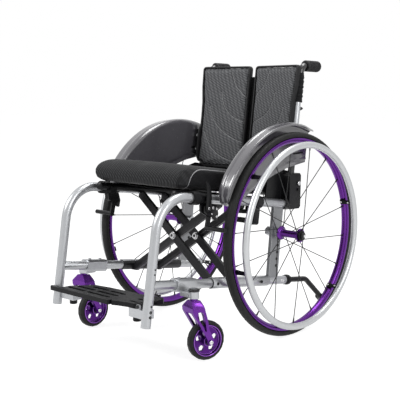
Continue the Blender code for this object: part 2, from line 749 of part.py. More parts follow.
def tyre(side):
    edge = RIM_OUTER + GAP
    profile = [(edge, -0.0112), (0.2855, -TYRE_HALF), (WHEEL_RADIUS, -0.0048), (WHEEL_RADIUS, 0.0048),
               (0.2855, TYRE_HALF), (edge, 0.0112)]
    return mirrored(lathe(profile, (WHEEL_X, AXLE_Y, AXLE_Z), WHEEL_SIDES), side)


def rim(side):
    """Double-wall rim: flanges outside, narrow bed inside."""
    profile = [(RIM_OUTER, -RIM_HALF), (0.2670, -0.0105), (RIM_INNER, -0.0045), (RIM_INNER, 0.0045),
               (0.2670, 0.0105), (RIM_OUTER, RIM_HALF)]
    return mirrored(lathe(profile, (WHEEL_X, AXLE_Y, AXLE_Z), WHEEL_SIDES), side)


def handrim(side):
    """Push rim with six tabs that reach under the rim's bed."""
    sides = 6
    profile = []
    for k in range(sides):
        a, b = polar(HANDRIM_TUBE, 2 * math.pi * (k + 0.5) / sides)
        profile.append((HANDRIM_RADIUS + a, b))
    ring = lathe(profile, (HANDRIM_X, AXLE_Y, AXLE_Z), WHEEL_SIDES)
    tabs = []
    for i in range(HANDRIM_TABS):
        tab = box((WHEEL_X - 0.004, -0.007, 0.2566), (HANDRIM_X + 0.002, 0.007, RIM_INNER - 0.0012))
        angle = math.radians(17 + 60 * i)
        tab.transform(Matrix.Translation((0, AXLE_Y, AXLE_Z)) @ Matrix.Rotation(angle + math.pi / 2, 4, "X"))
        tabs.append(tab)
    return mirrored(join(ring, *tabs), side)


def hub(side):
    """Hub shell with two flanges and end cap, and its eighteen crossed spokes."""
    inner, outer = HUB_INNER_X, HUB_OUTER_X
    bore = AXLE_PIN + RUNNING
    thick = 0.0047
    shell = 0.0115
    profile = [(bore, inner - 0.0003), (shell, inner - 0.0003), (HUB_FLANGE, inner)]
    profile += [(HUB_FLANGE, inner + thick), (shell, inner + 0.0073), (shell, outer - 0.0073)]
    profile += [(HUB_FLANGE, outer - thick), (HUB_FLANGE, outer), (0.0172, outer + 0.0021)]
    profile += [(0.0172, outer + 0.0157), (0.0146, outer + 0.0178), (bore, outer + 0.0178)]
    body = lathe(profile, (0, AXLE_Y, AXLE_Z), 12)
    spokes = []
    for i in range(SPOKES):
        angle = math.radians(-6.5) + 2 * math.pi * i / SPOKES
        turn = 1 if (i // 2) % 2 else -1
        flange = (inner + thick / 2 if i % 2 else outer - thick / 2) + 0.0014 * turn
        lean = math.radians(42) * turn
        y0, z0 = polar(0.0172, angle + lean)
        y1, z1 = polar(RIM_INNER * math.cos(math.pi / WHEEL_SIDES) - 0.0005, angle)
        start = (flange, AXLE_Y + y0, AXLE_Z + z0)
        spokes.append(rod(start, (WHEEL_X, AXLE_Y + y1, AXLE_Z + z1), SPOKE_RADIUS, 4))
    return mirrored(join(body, *spokes), side)


def axle(side):
    """Quick-release axle: pin through hub and frame sleeve, head with a pocket for the button."""
    outer = HUB_OUTER_X + 0.0178 + GAP
    profile = [(0, 0.1484), (0.0042, 0.1484), (AXLE_PIN, 0.1505), (AXLE_PIN, outer), (0.0099, outer)]
    profile += [(0.0099, outer + 0.0047), (0, outer + 0.0047)]
    body = lathe(profile, (0, AXLE_Y, AXLE_Z), 12)
    pocket = rod((outer - 0.0063, AXLE_Y, AXLE_Z), (outer + 0.01, AXLE_Y, AXLE_Z), 0.0047 + RUNNING, 8)
    return mirrored(cut(body, pocket), side)


def axle_button(side):
    outer = HUB_OUTER_X + 0.0178 + GAP
    return mirrored(rod((outer - 0.0016, AXLE_Y, AXLE_Z), (outer + 0.0089, AXLE_Y, AXLE_Z), 0.0047, 8), side)


# Back


def cane_path(x):
    foot = (x, cane_y(CANE_FOOT_Z), CANE_FOOT_Z)
    return rounded_path([foot, (x, cane_y(HANDLE_Z), HANDLE_Z), (x, 0.1936, HANDLE_Z)], 0.0262, 5)


def cane_rod(radius, z_low, z_high):
    """A stretch of the left cane's line, for what clamps it or wraps it."""
    return rod((FRAME_X, cane_y(z_low), z_low), (FRAME_X, cane_y(z_high), z_high), radius, 12)


def back_cane(side):
    """Back tube with the push handle's bend, and the small knob that clamps the back sling."""
    body = sweep(cane_path(FRAME_X), CANE, 12)
    z = 0.6531
    knob = rod((FRAME_X, cane_y(z), z), (FRAME_X, cane_y(z) + 0.0272, z), 0.0052, 10)
    return mirrored(join(body, knob), side)


def push_grip(side):
    """Ribbed grip, closed at its end, pushed over the handle."""
    profile = [(0, 0.1988), (0.0136, 0.1988), (GRIP, 0.1943)]
    for i in range(2):
        y = 0.1839 - 0.0313 * i
        profile += [(GRIP, y), (0.0149, y - 0.0016), (0.0149, y - 0.0052), (GRIP, y - 0.0068)]
    profile += [(GRIP, 0.1222), (0.0131, 0.1202), (CANE + GAP, 0.1202), (CANE + GAP, 0.1940), (0, 0.1940)]
    return mirrored(lathe(profile, (FRAME_X, 0, HANDLE_Z), 12, "Y"), side)


def back_bracket(side):
    """Casting that holds the rail's end and the back cane, with the plate beside the seat."""
    outline = [(-0.0470, 0.3762), (0.0209, 0.3553), (0.0888, 0.3553), (0.0888, 0.4650), (0.0104, 0.4765)]
    outline.append((-0.0313, 0.4661))
    plate = prism(rounded_outline(outline, 0.0125, 2), *BRACKET_PLATE_X)
    outline = [(0.0324, 0.3574), (0.0867, 0.3574), (0.0867, 0.4629), (0.0324, 0.4629)]
    block = prism(rounded_outline(outline, 0.0063, 1), 0.1651, 0.1965)
    collar = on_rail(prism(circle((FRAME_X, 0), 0.0170, 16), 0.0215, 0.0418, "Y"))
    bolts = [rod((0.1954, 0.0732, z), (0.1996, 0.0732, z), 0.0044, 6) for z in (0.4305, 0.4138)]
    bore = rod(rail_point(FRAME_X, -0.06, 0), rail_point(FRAME_X, 0.0324, 0), TUBE + GAP, TUBE_SIDES)
    socket = cane_rod(CANE + GAP, CANE_FOOT_Z - GAP, 0.49)
    return mirrored(cut(join(plate, block, collar, *bolts), bore, socket), side)


def guard_clamp(side):
    """Clamp on the back cane that the side guard hangs on."""
    outline = [(0.1651, -CLAMP_HALF), (GUARD_X[0] - GAP, -CLAMP_HALF), (GUARD_X[0] - GAP, CLAMP_HALF)]
    outline.append((0.1651, CLAMP_HALF))
    body = on_canes(prism(outline, *CLAMP_Z, "Z"))
    bore = cane_rod(CANE + GAP, CLAMP_Z[0] - 0.02, CLAMP_Z[1] + 0.02)
    bolts = []
    for z in (0.5622, 0.5183):
        y = cane_y(z) - CLAMP_HALF
        bolts.append(rod((0.1944, y + 0.0021, z), (0.1944, y - 0.0037, z), 0.0044, 8))
    return mirrored(cut(join(body, *bolts), bore), side)


def side_guard(side):
    """Mudguard: crescent panel beside the seat and a flange that curves over the tyre."""
    steps = 16
    inner, outer = [], []
    for i in range(steps + 1):
        angle = GUARD_FRONT + (GUARD_REAR - GUARD_FRONT) * i / steps
        for line, radius in zip((inner, outer), GUARD_RADIUS):
            z, y = polar(radius, angle)
            line.append((AXLE_Y + y, AXLE_Z + z))
    edge = [(0.0795, 0.4940), (0.0065, 0.4830), (-0.0570, 0.4650), (-0.1175, 0.4430), (-0.1700, 0.4180),
            (-0.1975, 0.4010), (-0.2400, 0.3975), (-0.2700, 0.4040), (-0.2885, 0.4180)]
    panel = prism(outer + edge, *GUARD_X)
    flange = prism(outer + list(reversed(inner)), GUARD_X[0], GUARD_FLANGE_X)
    boss = rod((0.1947, -0.2550, 0.4130), (0.2038, -0.2550, 0.4130), 0.0057, 10)
    outline = [(0.0272, 0.5204), (0.0836, 0.5204), (0.0836, 0.5267), (0.0272, 0.5267)]
    slot = prism(rounded_outline(outline, 0.0029, 2), 0.18, 0.21)
    return mirrored(cut(join(panel, flange, boss), slot, rail_rod(TUBE + 2 * GAP)), side)


# Brakes

LEVER_PIN = (-0.3260, 0.3908)
SHOE_PIN = (-0.3093, 0.3762)


def brake_clamp(side):
    """Clamp on the rail with the plate that carries both pivots."""
    ring = on_rail(prism(circle((FRAME_X, 0), 0.0157, 16, math.pi / 16), -0.3448, -0.3104, "Y"))
    ring = cut(ring, rail_rod(TUBE + GAP))
    outline = [(-0.3407, 0.4055), (-0.3104, 0.4013), (-0.2978, 0.3762), (-0.3093, 0.3657), (-0.3386, 0.3804)]
    plate = prism(rounded_outline(outline, 0.0052, 1), 0.1808, 0.1865)
    plate = cut(plate, rail_rod(TUBE + GAP))
    pins = [rod((0.1839, *LEVER_PIN), (0.2052, *LEVER_PIN), 0.0031, 8),
            rod((0.1839, *SHOE_PIN), (0.1938, *SHOE_PIN), 0.0031, 8)]
    return mirrored(join(ring, plate, *pins), side)


def brake_lever(side):
    """Flat lever with its knob, upright while the brake is off."""
    y, z = LEVER_PIN
    outline = [(-0.0084, -0.0084), (0.0084, -0.0084), (0.0063, 0.0313), (0.0021, 0.0627), (-0.0094, 0.0627)]
    outline = [(y + a, z + b) for a, b in [*outline, (-0.0063, 0.0313)]]
    arm = prism(rounded_outline(outline, 0.0042, 1), 0.1995, 0.2040)
    outline = [(-0.0115, 0.0418), (0.0052, 0.0418), (0.0031, 0.0711), (-0.0115, 0.0711)]
    outline = [(y + a, z + b) for a, b in outline]
    knob = prism(rounded_outline(outline, 0.0052, 1), 0.1986, 0.2052)
    return mirrored(cut(join(arm, knob), rod((0.18, y, z), (0.22, y, z), 0.0036, 8)), side)


def brake_shoe(side):
    """Arm with the round bar that presses on the tyre."""
    y, z = SHOE_PIN
    end_y, end_z = -0.3203, 0.3375
    half = 0.0073
    outline = [(y - half, z + 0.0063), (y + half, z + 0.0063), (end_y + half, end_z - half)]
    outline.append((end_y - half, end_z - half))
    arm = prism(rounded_outline(outline, 0.0052, 2), 0.1876, 0.1928)
    bar = rod((0.1881, end_y, end_z), (0.2571, end_y, end_z), 0.0063, 12)
    return mirrored(cut(join(arm, bar), rod((0.17, y, z), (0.20, y, z), 0.0036, 8)), side)


# Anti-tip wheel

TIP_AXLE = (0.2560, 0.0420)
TIP_RADIUS = 0.0252


def anti_tip_tube():
    """Plug in the lower tube's end, collar, bent tube and the fork of the small wheel."""
    end = LOWER_TUBE_T[1]
    start = rail_point(FRAME_X, end - 0.0460, -RAIL_TO_LOWER)
    end_of_frame = rail_point(FRAME_X, end + GAP, -RAIL_TO_LOWER)
    knee = rail_point(FRAME_X, 0.1745, -RAIL_TO_LOWER)
    wheel = Vector((FRAME_X, *TIP_AXLE))
    down = (wheel - knee).normalized()
    foot = wheel - down * 0.0324
    collar_end = rail_point(FRAME_X, end + 0.0104, -RAIL_TO_LOWER)
    plug = rod(start, collar_end, PLUG, 12)
    collar = rod(end_of_frame, collar_end, 0.0155, 12)
    tube = sweep(rounded_path([end_of_frame.lerp(collar_end, 0.5), knee, foot], 0.0313, 3), 0.0082, 12)
    across = Vector((0, -down.z, down.y)) * 0.0084
    near, far = foot - down * 0.0084, wheel + down * 0.0073
    outline = [(point.y, point.z) for point in (near - across, far - across, far + across, near + across)]
    fork = prism(rounded_outline(outline, 0.0063, 3), FRAME_X - 0.0136, FRAME_X + 0.0136)
    gap = rod((FRAME_X - 0.0102, *TIP_AXLE), (FRAME_X + 0.0102, *TIP_AXLE), TIP_RADIUS + 0.0021, 16)
    pin = rod((FRAME_X - 0.0152, *TIP_AXLE), (FRAME_X + 0.0152, *TIP_AXLE), 0.0037, 10)
    return join(cut(join(plug, collar, tube, fork), gap), pin)


def anti_tip_wheel():
    profile = [(0.0041, -0.0094), (TIP_RADIUS - 0.0031, -0.0094), (TIP_RADIUS, -0.0063), (TIP_RADIUS, 0.0063),
               (TIP_RADIUS - 0.0031, 0.0094), (0.0041, 0.0094)]
    return lathe(profile, (FRAME_X, *TIP_AXLE), 16)


# Soft parts, plain solids


def seat_sling():
    """Cloth that hangs between the seat tubes, with a hem over the top of each."""
    low, high = -0.3323, -0.1233
    outline = []
    steps = 6
    reach = SEAT_TUBE_X - 0.0063
    for i in range(steps + 1):
        x = -reach + 2 * reach * i / steps
        sag = 0.0042 * (1 - (x / reach) ** 2)
        outline.append((x, SEAT_TUBE_H + 0.0094 - sag))
    upper = [(x, h + 0.0026) for x, h in reversed(outline)]
    sheet = prism(outline + upper, low, high, "Y")
    hems = []
    bores = []
    for sign in (-1, 1):
        centre = (sign * SEAT_TUBE_X, SEAT_TUBE_H)
        outside = circle(centre, SEAT_TUBE + 0.0025, 16, math.pi / 16)
        inside = circle(centre, SEAT_TUBE + RUNNING, 16, math.pi / 16)
        hems.append(prism(outside, low + 0.0005, high - 0.0005, "Y"))
        bores.append(prism(inside, low - 0.01, high + 0.01, "Y"))
    below = box((-0.2, low - 0.01, -0.05), (0.2, high + 0.01, SEAT_TUBE_H - 0.0010))
    return on_rail(cut(join(sheet, *hems), below, *bores))


def seat_cushion():
    low, high = CUSHION_H
    front, back = CUSHION_T
    outline = [(front + 0.0063, low), (back, low), (back, high - 0.0042), (front + 0.0470, high),
               (front + 0.0188, high - 0.0104), (front, high - 0.0313)]
    body = prism(outline, -CUSHION_X, CUSHION_X)
    notch = box((0.1615, -0.0627, 0), (0.2, 0.1, 0.1))
    other = box((-0.2, -0.0627, 0), (-0.1615, 0.1, 0.1))
    return on_rail(cut(body, notch, other))


def sag_at(x):
    """How much further back the sling lies at a distance from the middle than it does at the canes."""
    share = (FRAME_X - x) / (FRAME_X - PAD_INNER_X)
    return BACK_SAG * share


def back_sling():
    """Sling behind the pads, with a sleeve over each cane's upper part. It gives towards the middle."""
    reach = FRAME_X - 0.0104
    stations = [(-reach, sag_at(reach)), (-PAD_INNER_X, BACK_SAG)]
    stations += [(PAD_INNER_X, BACK_SAG), (reach, sag_at(reach))]
    outline = [(x, SLING_DEPTH[0] + sag) for x, sag in stations]
    outline += [(x, SLING_DEPTH[1] + sag) for x, sag in reversed(stations)]
    sheet = on_canes(prism(outline, BACK_LOW_Z, HEM_Z[1], "Z"))
    sleeves = [mirrored(cane_rod(SLEEVE_OF_SLING, *HEM_Z), side) for side in (1, -1)]
    bores = [mirrored(cane_rod(CANE + RUNNING, HEM_Z[0] - 0.02, HEM_Z[1] + 0.02), side) for side in (1, -1)]
    corners = [mirrored(box((0.1588, 0, 0.40), (0.20, 0.15, HEM_Z[0])), side) for side in (1, -1)]
    return cut(join(sheet, *sleeves), *bores, *corners)


def back_pad(side):
    """Padded half of the backrest, which leans in to the sling's middle and clears the clamps on the cane."""
    low = BACK_LOW_Z - 0.0063
    notch_x = BRACKET_PLATE_X[0] - GAP
    notch_z = BRACKET_TOP_Z + GAP
    outline = [(PAD_INNER_X, low), (notch_x, low), (notch_x, notch_z), (0.1820, notch_z), (0.1790, 0.6200)]
    outline += [(0.1800, 0.6700), (0.1860, 0.7200), (0.1880, BACK_TOP_Z), (PAD_INNER_X, BACK_TOP_Z)]
    back = SLING_DEPTH[0] - GAP
    body = prism(outline, back - PAD_THICK, back, "Y")
    lean = Matrix.Identity(4)
    lean[1][0] = -BACK_SAG / (FRAME_X - PAD_INNER_X)
    lean[1][3] = sag_at(0)
    body.transform(lean)
    room = prism([(0.1645, -CLAMP_HALF - GAP), (0.20, -CLAMP_HALF - GAP), (0.20, 0.05), (0.1645, 0.05)],
                 CLAMP_Z[0] - GAP, CLAMP_Z[1] + GAP, "Z")
    return mirrored(cut(on_canes(body), on_canes(room), cane_rod(SLEEVE_OF_SLING + GAP, 0.40, 0.80)), side)


# Assembly


def build_side(name, side, frame):
    """Everything that one side frame carries."""
    add(f"{name}_side_tube", side_tube(side), silver(), frame)
    add(f"{name}_lower_frame", lower_frame(side), silver(), frame)
    add(f"{name}_front_saddle", front_saddle(side), plastic(), frame)
    add(f"{name}_rear_saddle", rear_saddle(side), black(), frame)
    add(f"{name}_caster_housing", caster_housing(side), silver(), frame)
    add(f"{name}_foot_bracket", foot_bracket(side), silver(), frame)
    add(f"{name}_back_cane", back_cane(side), silver(), frame)
    add(f"{name}_push_grip", push_grip(side), rubber(), frame)
    add(f"{name}_back_bracket", back_bracket(side), black(), frame)
    add(f"{name}_guard_clamp", guard_clamp(side), black(), frame)
    add(f"{name}_side_guard", side_guard(side), guard_grey(), frame)
    add(f"{name}_brake_clamp", brake_clamp(side), black(), frame)
    add(f"{name}_axle", axle(side), steel(), frame)

    wheel = pivot(f"{name}_wheel_pivot", (side * WHEEL_X, AXLE_Y, AXLE_Z), frame)
    add(f"{name}_tyre", tyre(side), rubber(), wheel)
    add(f"{name}_rim", rim(side), purple(), wheel)
    add(f"{name}_hub", hub(side), purple(), wheel)
    add(f"{name}_handrim", handrim(side), chrome(), wheel)
    button = pivot(f"{name}_button_pivot", (side * (HUB_OUTER_X + 0.0270), AXLE_Y, AXLE_Z), frame)
    add(f"{name}_axle_button", axle_button(side), steel(), button)

    swivel = LEFT_CASTER_SWIVEL if side > 0 else 0.0
    stem = pivot(f"{name}_caster_pivot", (side * STEM_X, STEM_Y, CROWN_TOP), frame, swivel)
    add(f"{name}_caster_fork", caster_fork(side), purple(), stem)
    spin = pivot(f"{name}_caster_spin_pivot", caster_place(side), stem)
    add(f"{name}_caster_wheel", caster_wheel(side), purple(), spin)
    add(f"{name}_caster_tyre", caster_tyre(side), rubber(), spin)

    lever = pivot(f"{name}_lever_pivot", (side * 0.2018, *LEVER_PIN), frame)
    add(f"{name}_brake_lever", brake_lever(side), plastic(), lever)
    shoe = pivot(f"{name}_shoe_pivot", (side * 0.1902, *SHOE_PIN), frame)
    add(f"{name}_brake_shoe", brake_shoe(side), black(), shoe)


def build():
    for obj in list(bpy.data.objects):
        bpy.data.objects.remove(obj, do_unlink=True)
    chair = pivot("chair", (0, 0, 0))
    build_side("right", -1, chair)

    middle = sum(CROSSING_T) / 2
    fold = pivot("brace_a_pivot", rail_point(-FRAME_X, middle, -RAIL_TO_LOWER), chair)
    add("brace_pair_a", brace_pair(1), black(), fold)
    add("left_seat_tube", seat_tube(1), black(), fold)
    add("seat_sling", seat_sling(), black_cloth(), fold)
    add("seat_cushion", seat_cushion(), grey_mesh(), fold)
    cross = pivot("brace_b_pivot", rail_point(0, middle, BOLT_H), fold)
    add("brace_pair_b", brace_pair(-1), black(), cross)
    add("right_seat_tube", seat_tube(-1), black(), cross)

    left = pivot("left_frame_pivot", rail_point(FRAME_X, middle, -RAIL_TO_LOWER), cross)
    build_side("left", 1, left)
    add("back_sling", back_sling(), black_cloth(), left)
    add("left_back_pad", back_pad(1), grey_mesh(), left)
    add("right_back_pad", back_pad(-1), grey_mesh(), left)
    add("hinge_pin", hinge_pin(), steel(), left)
    plate = pivot("footplate_pivot", (HINGE_X, sum(BARREL_Y) / 2, HINGE_Z), left)
    add("footplate_near", footplate_near(), plastic(), plate)
    add("footplate_far", footplate_far(), plastic(), plate)
    tip = pivot("anti_tip_pivot", rail_point(FRAME_X, LOWER_TUBE_T[1], -RAIL_TO_LOWER), left)
    add("anti_tip_tube", anti_tip_tube(), black(), tip)
    tip_spin = pivot("anti_tip_wheel_pivot", (FRAME_X, *TIP_AXLE), tip)
    add("anti_tip_wheel", anti_tip_wheel(), rubber(), tip_spin)

    bpy.data.objects[chair].location.y = -(FRONT_Y + REAR_Y) / 2


build()
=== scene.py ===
"""Folding wheelchair: the finished look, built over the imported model, which stays the fixed frame.

Lengths are metres and +Z is up. The chair faces -Y and its left side is +X. New pieces are drawn in the frame's
own measure, with Y = 0 on the datum line that the side frames are set out from, and shifted once when made.
"""

import json
import math

import bmesh
import bpy
import numpy as np
from mathutils import Matrix, Vector

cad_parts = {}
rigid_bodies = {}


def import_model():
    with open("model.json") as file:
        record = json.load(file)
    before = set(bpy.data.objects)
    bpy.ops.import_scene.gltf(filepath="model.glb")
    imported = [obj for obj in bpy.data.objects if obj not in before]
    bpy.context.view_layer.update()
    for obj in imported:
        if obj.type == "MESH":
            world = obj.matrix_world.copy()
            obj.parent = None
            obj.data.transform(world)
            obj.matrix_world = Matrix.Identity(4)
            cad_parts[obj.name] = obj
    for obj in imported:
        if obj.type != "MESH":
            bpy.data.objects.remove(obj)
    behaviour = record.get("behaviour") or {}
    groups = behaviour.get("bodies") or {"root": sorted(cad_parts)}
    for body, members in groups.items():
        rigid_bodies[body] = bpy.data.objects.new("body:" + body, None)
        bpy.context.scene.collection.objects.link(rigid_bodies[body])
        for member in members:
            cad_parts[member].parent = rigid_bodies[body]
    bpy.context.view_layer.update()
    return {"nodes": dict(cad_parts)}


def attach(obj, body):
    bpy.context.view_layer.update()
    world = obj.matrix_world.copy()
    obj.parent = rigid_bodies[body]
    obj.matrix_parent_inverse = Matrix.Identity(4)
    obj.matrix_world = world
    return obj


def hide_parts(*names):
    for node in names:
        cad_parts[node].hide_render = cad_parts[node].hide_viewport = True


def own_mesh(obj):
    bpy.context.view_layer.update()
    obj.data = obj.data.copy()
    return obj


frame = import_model()

# Camera and studio
# The chair is seen from its left front through a long lens, a little above the seat. It stands on a white floor
# in even white light, with a soft box at the upper left that draws the highlights along tubes and guards.

scene = bpy.context.scene
scene.view_settings.view_transform = "Standard"

turn, tilt, roll = np.radians([42.8859, 6.6363, 0.8206])
backwards = np.array([np.sin(turn) * np.cos(tilt), -np.cos(turn) * np.cos(tilt), np.sin(tilt)])
rightwards = np.array([np.cos(turn), np.sin(turn), 0.0])
upwards = np.cross(backwards, rightwards)
level = rightwards * np.cos(roll) + upwards * np.sin(roll)
upright = upwards * np.cos(roll) - rightwards * np.sin(roll)
camera_place = np.array([1.6621573, -1.7970099, 0.6654756])
camera = bpy.data.objects.new("camera", bpy.data.cameras.new("camera"))
camera.data.sensor_width = 36.0
camera.data.lens = 75.1126
camera.data.clip_start, camera.data.clip_end = 0.05, 60.0
camera.matrix_world = Matrix([[*row] for row in np.vstack([
    np.column_stack([level, upright, backwards, camera_place]), [0, 0, 0, 1]])])
scene.collection.objects.link(camera)
scene.camera = camera


def soft_box(name, place, aim, size, watts):
    """A square lamp at a place, turned to its aim."""
    lamp = bpy.data.lights.new(name, "AREA")
    lamp.shape, lamp.size, lamp.size_y, lamp.energy = "RECTANGLE", size[0], size[1], watts
    holder = bpy.data.objects.new(name, lamp)
    holder.location = place
    holder.rotation_euler = (Vector(aim) - Vector(place)).to_track_quat("-Z", "Y").to_euler()
    scene.collection.objects.link(holder)


soft_box("key_soft_box", (-1.5, -2.5, 2.7), (0, 0, 0.4), (1.3, 1.3), 78)
soft_box("side_soft_box", (3.0, -0.5, 1.7), (0, 0, 0.4), (0.9, 1.9), 34)
soft_box("top_soft_box", (0.2, 0.7, 3.0), (0, 0.1, 0.3), (1.8, 0.9), 40)

sky = bpy.data.worlds.new("studio")
sky.use_nodes = True
sky_nodes, sky_links = sky.node_tree.nodes, sky.node_tree.links
for_light, for_eye = sky_nodes["Background"], sky_nodes.new("ShaderNodeBackground")
for_light.inputs["Color"].default_value = (1.0, 1.0, 1.0, 1.0)
for_light.inputs["Strength"].default_value = 0.42
for_eye.inputs["Color"].default_value = (1.0, 1.0, 1.0, 1.0)
for_eye.inputs["Strength"].default_value = 1.0
sky_mix = sky_nodes.new("ShaderNodeMixShader")
seen = sky_nodes.new("ShaderNodeLightPath")
either, mirrored_too = sky_nodes.new("ShaderNodeMath"), sky_nodes.new("ShaderNodeMath")
either.operation = mirrored_too.operation = "MAXIMUM"
sky_links.new(seen.outputs["Is Camera Ray"], either.inputs[0])
sky_links.new(seen.outputs["Is Transmission Ray"], either.inputs[1])
sky_links.new(either.outputs[0], mirrored_too.inputs[0])
sky_links.new(seen.outputs["Is Glossy Ray"], mirrored_too.inputs[1])
sky_links.new(mirrored_too.outputs[0], sky_mix.inputs["Fac"])
sky_links.new(for_light.outputs[0], sky_mix.inputs[1])
sky_links.new(for_eye.outputs[0], sky_mix.inputs[2])
sky_links.new(sky_mix.outputs[0], sky_nodes["World Output"].inputs["Surface"])
scene.world = sky

floor_mesh = bpy.data.meshes.new("studio_floor")
floor_mesh.from_pydata([(-30, -30, 0), (30, -30, 0), (30, 30, 0), (-30, 30, 0)], [], [(0, 1, 2, 3)])
floor = bpy.data.objects.new("studio_floor", floor_mesh)
scene.collection.objects.link(floor)
paper = bpy.data.materials.new("floor_paper")
paper.use_nodes = True
paper_nodes, paper_links = paper.node_tree.nodes, paper.node_tree.links
plain, lit, glow = (paper_nodes.new(kind) for kind in (
    "ShaderNodeBsdfDiffuse", "ShaderNodeBsdfDiffuse", "ShaderNodeEmission"))
plain.inputs["Color"].default_value = (0.60, 0.60, 0.60, 1)
lit.inputs["Color"].default_value = (0.34, 0.34, 0.34, 1)
glow.inputs["Color"].default_value = (1, 1, 1, 1)
glow.inputs["Strength"].default_value = 0.86
bright, choice, ray = (paper_nodes.new(kind) for kind in (
    "ShaderNodeAddShader", "ShaderNodeMixShader", "ShaderNodeLightPath"))
looked_at = paper_nodes.new("ShaderNodeMath")
looked_at.operation = "MAXIMUM"
paper_links.new(ray.outputs["Is Camera Ray"], looked_at.inputs[0])
paper_links.new(ray.outputs["Is Glossy Ray"], looked_at.inputs[1])
paper_links.new(looked_at.outputs[0], choice.inputs["Fac"])
paper_links.new(lit.outputs[0], bright.inputs[0])
paper_links.new(glow.outputs[0], bright.inputs[1])
paper_links.new(plain.outputs[0], choice.inputs[1])
paper_links.new(bright.outputs[0], choice.inputs[2])
paper_links.new(choice.outputs[0], paper_nodes["Material Output"].inputs["Surface"])
floor_mesh.materials.append(paper)

# Side frames
# Each is one aluminium tube, bent up from the footrest end, round the knee and back along the seat, with a lower
# tube coped to it and a drop plate that takes the axle. They are sprayed silver; the open tube ends have plugs.
# The drop plate's darker alloy is partly its own finish and partly painted shade, and the holes' dark floors are
# painted shade.

DATUM_Y = 0.134661
SIDES = ((1, "left"), (-1, "right"))
FRAME_X = 0.1797
TUBE = 0.0127
SLOPE = math.radians(6.7)
RAIL_Z = 0.3768
LOWER_H = -0.2267


def on_rail(x, t, h):
    """A place beside the seat rail: x across, t along it and h above it, where the rail slopes down to the rear."""
    return np.array([x, t * math.cos(SLOPE) + h * math.sin(SLOPE), RAIL_Z + h * math.cos(SLOPE) - t * math.sin(SLOPE)])


def unit(vector):
    return vector / np.linalg.norm(vector, axis=-1, keepdims=True)


def surface(grid, around=True, along=False):
    """Points and faces of a grid of points: each face joins two neighbours of a row to the two in the next row.
    A closed surface is turned outwards by the sign of its volume, the sum of a · (b × c) / 6."""
    rows, columns = grid.shape[:2]
    number = np.arange(rows * columns).reshape(rows, columns)
    number = np.concatenate([number, number[:1]]) if along else number
    number = np.concatenate([number, number[:, :1]], axis=1) if around else number
    faces = np.stack([number[:-1, :-1], number[:-1, 1:], number[1:, 1:], number[1:, :-1]], axis=-1).reshape(-1, 4)
    points = grid.reshape(-1, 3)
    a, b, c, d = (points[faces[:, i]] - points.mean(axis=0) for i in range(4))
    volume = (a * np.cross(b, c)).sum() + (a * np.cross(c, d)).sum()
    return points, faces if volume >= 0 else faces[:, ::-1]


def bent(corners, radius, steps=12):
    """A line through corners. Each inner corner becomes an arc that touches both runs at radius / tan(half its
    angle) from the corner; the arc's points are the turned mixes sin((1-s)w)·first + sin(s·w)·last over sin(w)."""
    corners = np.asarray(corners, float)
    line = [corners[:1]]
    for before, corner, after in zip(corners, corners[1:], corners[2:]):
        back, ahead = unit(before - corner), unit(after - corner)
        half = math.acos(float(np.clip(back @ ahead, -1, 1))) / 2
        middle = corner + unit(back + ahead) * radius / math.sin(half)
        first = corner + back * radius / math.tan(half) - middle
        last = corner + ahead * radius / math.tan(half) - middle
        whole, share = math.pi - 2 * half, np.linspace(0, 1, steps)[:, None]
        line.append(middle + (np.sin((1 - share) * whole) * first + np.sin(share * whole) * last) / math.sin(whole))
    line.append(corners[-1:])
    return np.concatenate(line)


def swept(path, section, size=1.0, start=((0, 0),), end=((0, 0),), flat=(1.0, 0.0, 0.0)):
    """A section carried along a path: point = path + size · (section across · side + section up · normal).
    start and end add rings of (distance past that end, size), which round, close or bore it."""
    path = np.asarray(path, float)
    step = unit(np.diff(path, axis=0))
    way = unit(np.concatenate([step[:1], step[:-1] + step[1:], step[-1:]]))
    size = np.broadcast_to(np.asarray(size, float), len(path))
    first, last = np.array(start[::-1], float).reshape(-1, 2), np.array(end, float).reshape(-1, 2)
    path = np.concatenate([path[0] - way[0] * first[:, :1], path, path[-1] + way[-1] * last[:, :1]])
    way = np.concatenate([np.repeat(way[:1], len(first), 0), way, np.repeat(way[-1:], len(last), 0)])
    size = np.concatenate([first[:, 1], size, last[:, 1]])
    side = unit(np.asarray(flat, float) - way * (way @ np.asarray(flat, float))[:, None])
    up = np.cross(way, side)
    across, rise = np.asarray(section, float).T
    ring = side[:, None] * across[None, :, None] + up[:, None] * rise[None, :, None]
    return surface(path[:, None] + size[:, None, None] * ring)


def round_section(sides=28):
    """A circle of radius 1."""
    t = np.linspace(0, 2 * np.pi, sides, endpoint=False)
    return np.column_stack([np.cos(t), np.sin(t)])


def squarish(width, height, power=5.0, sides=36):
    """A rounded rectangle: |x / half width|^power + |y / half height|^power = 1."""
    t = np.linspace(0, 2 * np.pi, sides, endpoint=False)
    c, s = np.cos(t), np.sin(t)
    return np.column_stack([width / 2 * np.sign(c) * np.abs(c) ** (2 / power),
                            height / 2 * np.sign(s) * np.abs(s) ** (2 / power)])


def tube(path, radius, **more):
    return swept(path, round_section(), radius, **more)


def eased_end(radius, edge):
    """Rings that round a bar's end over a small edge and close it: radius - edge · (1 - cos) at edge · sin."""
    t = np.linspace(0.25, 1, 4) * np.pi / 2
    return [*zip(edge * np.sin(t), radius - edge * (1 - np.cos(t))), (edge, 0)]


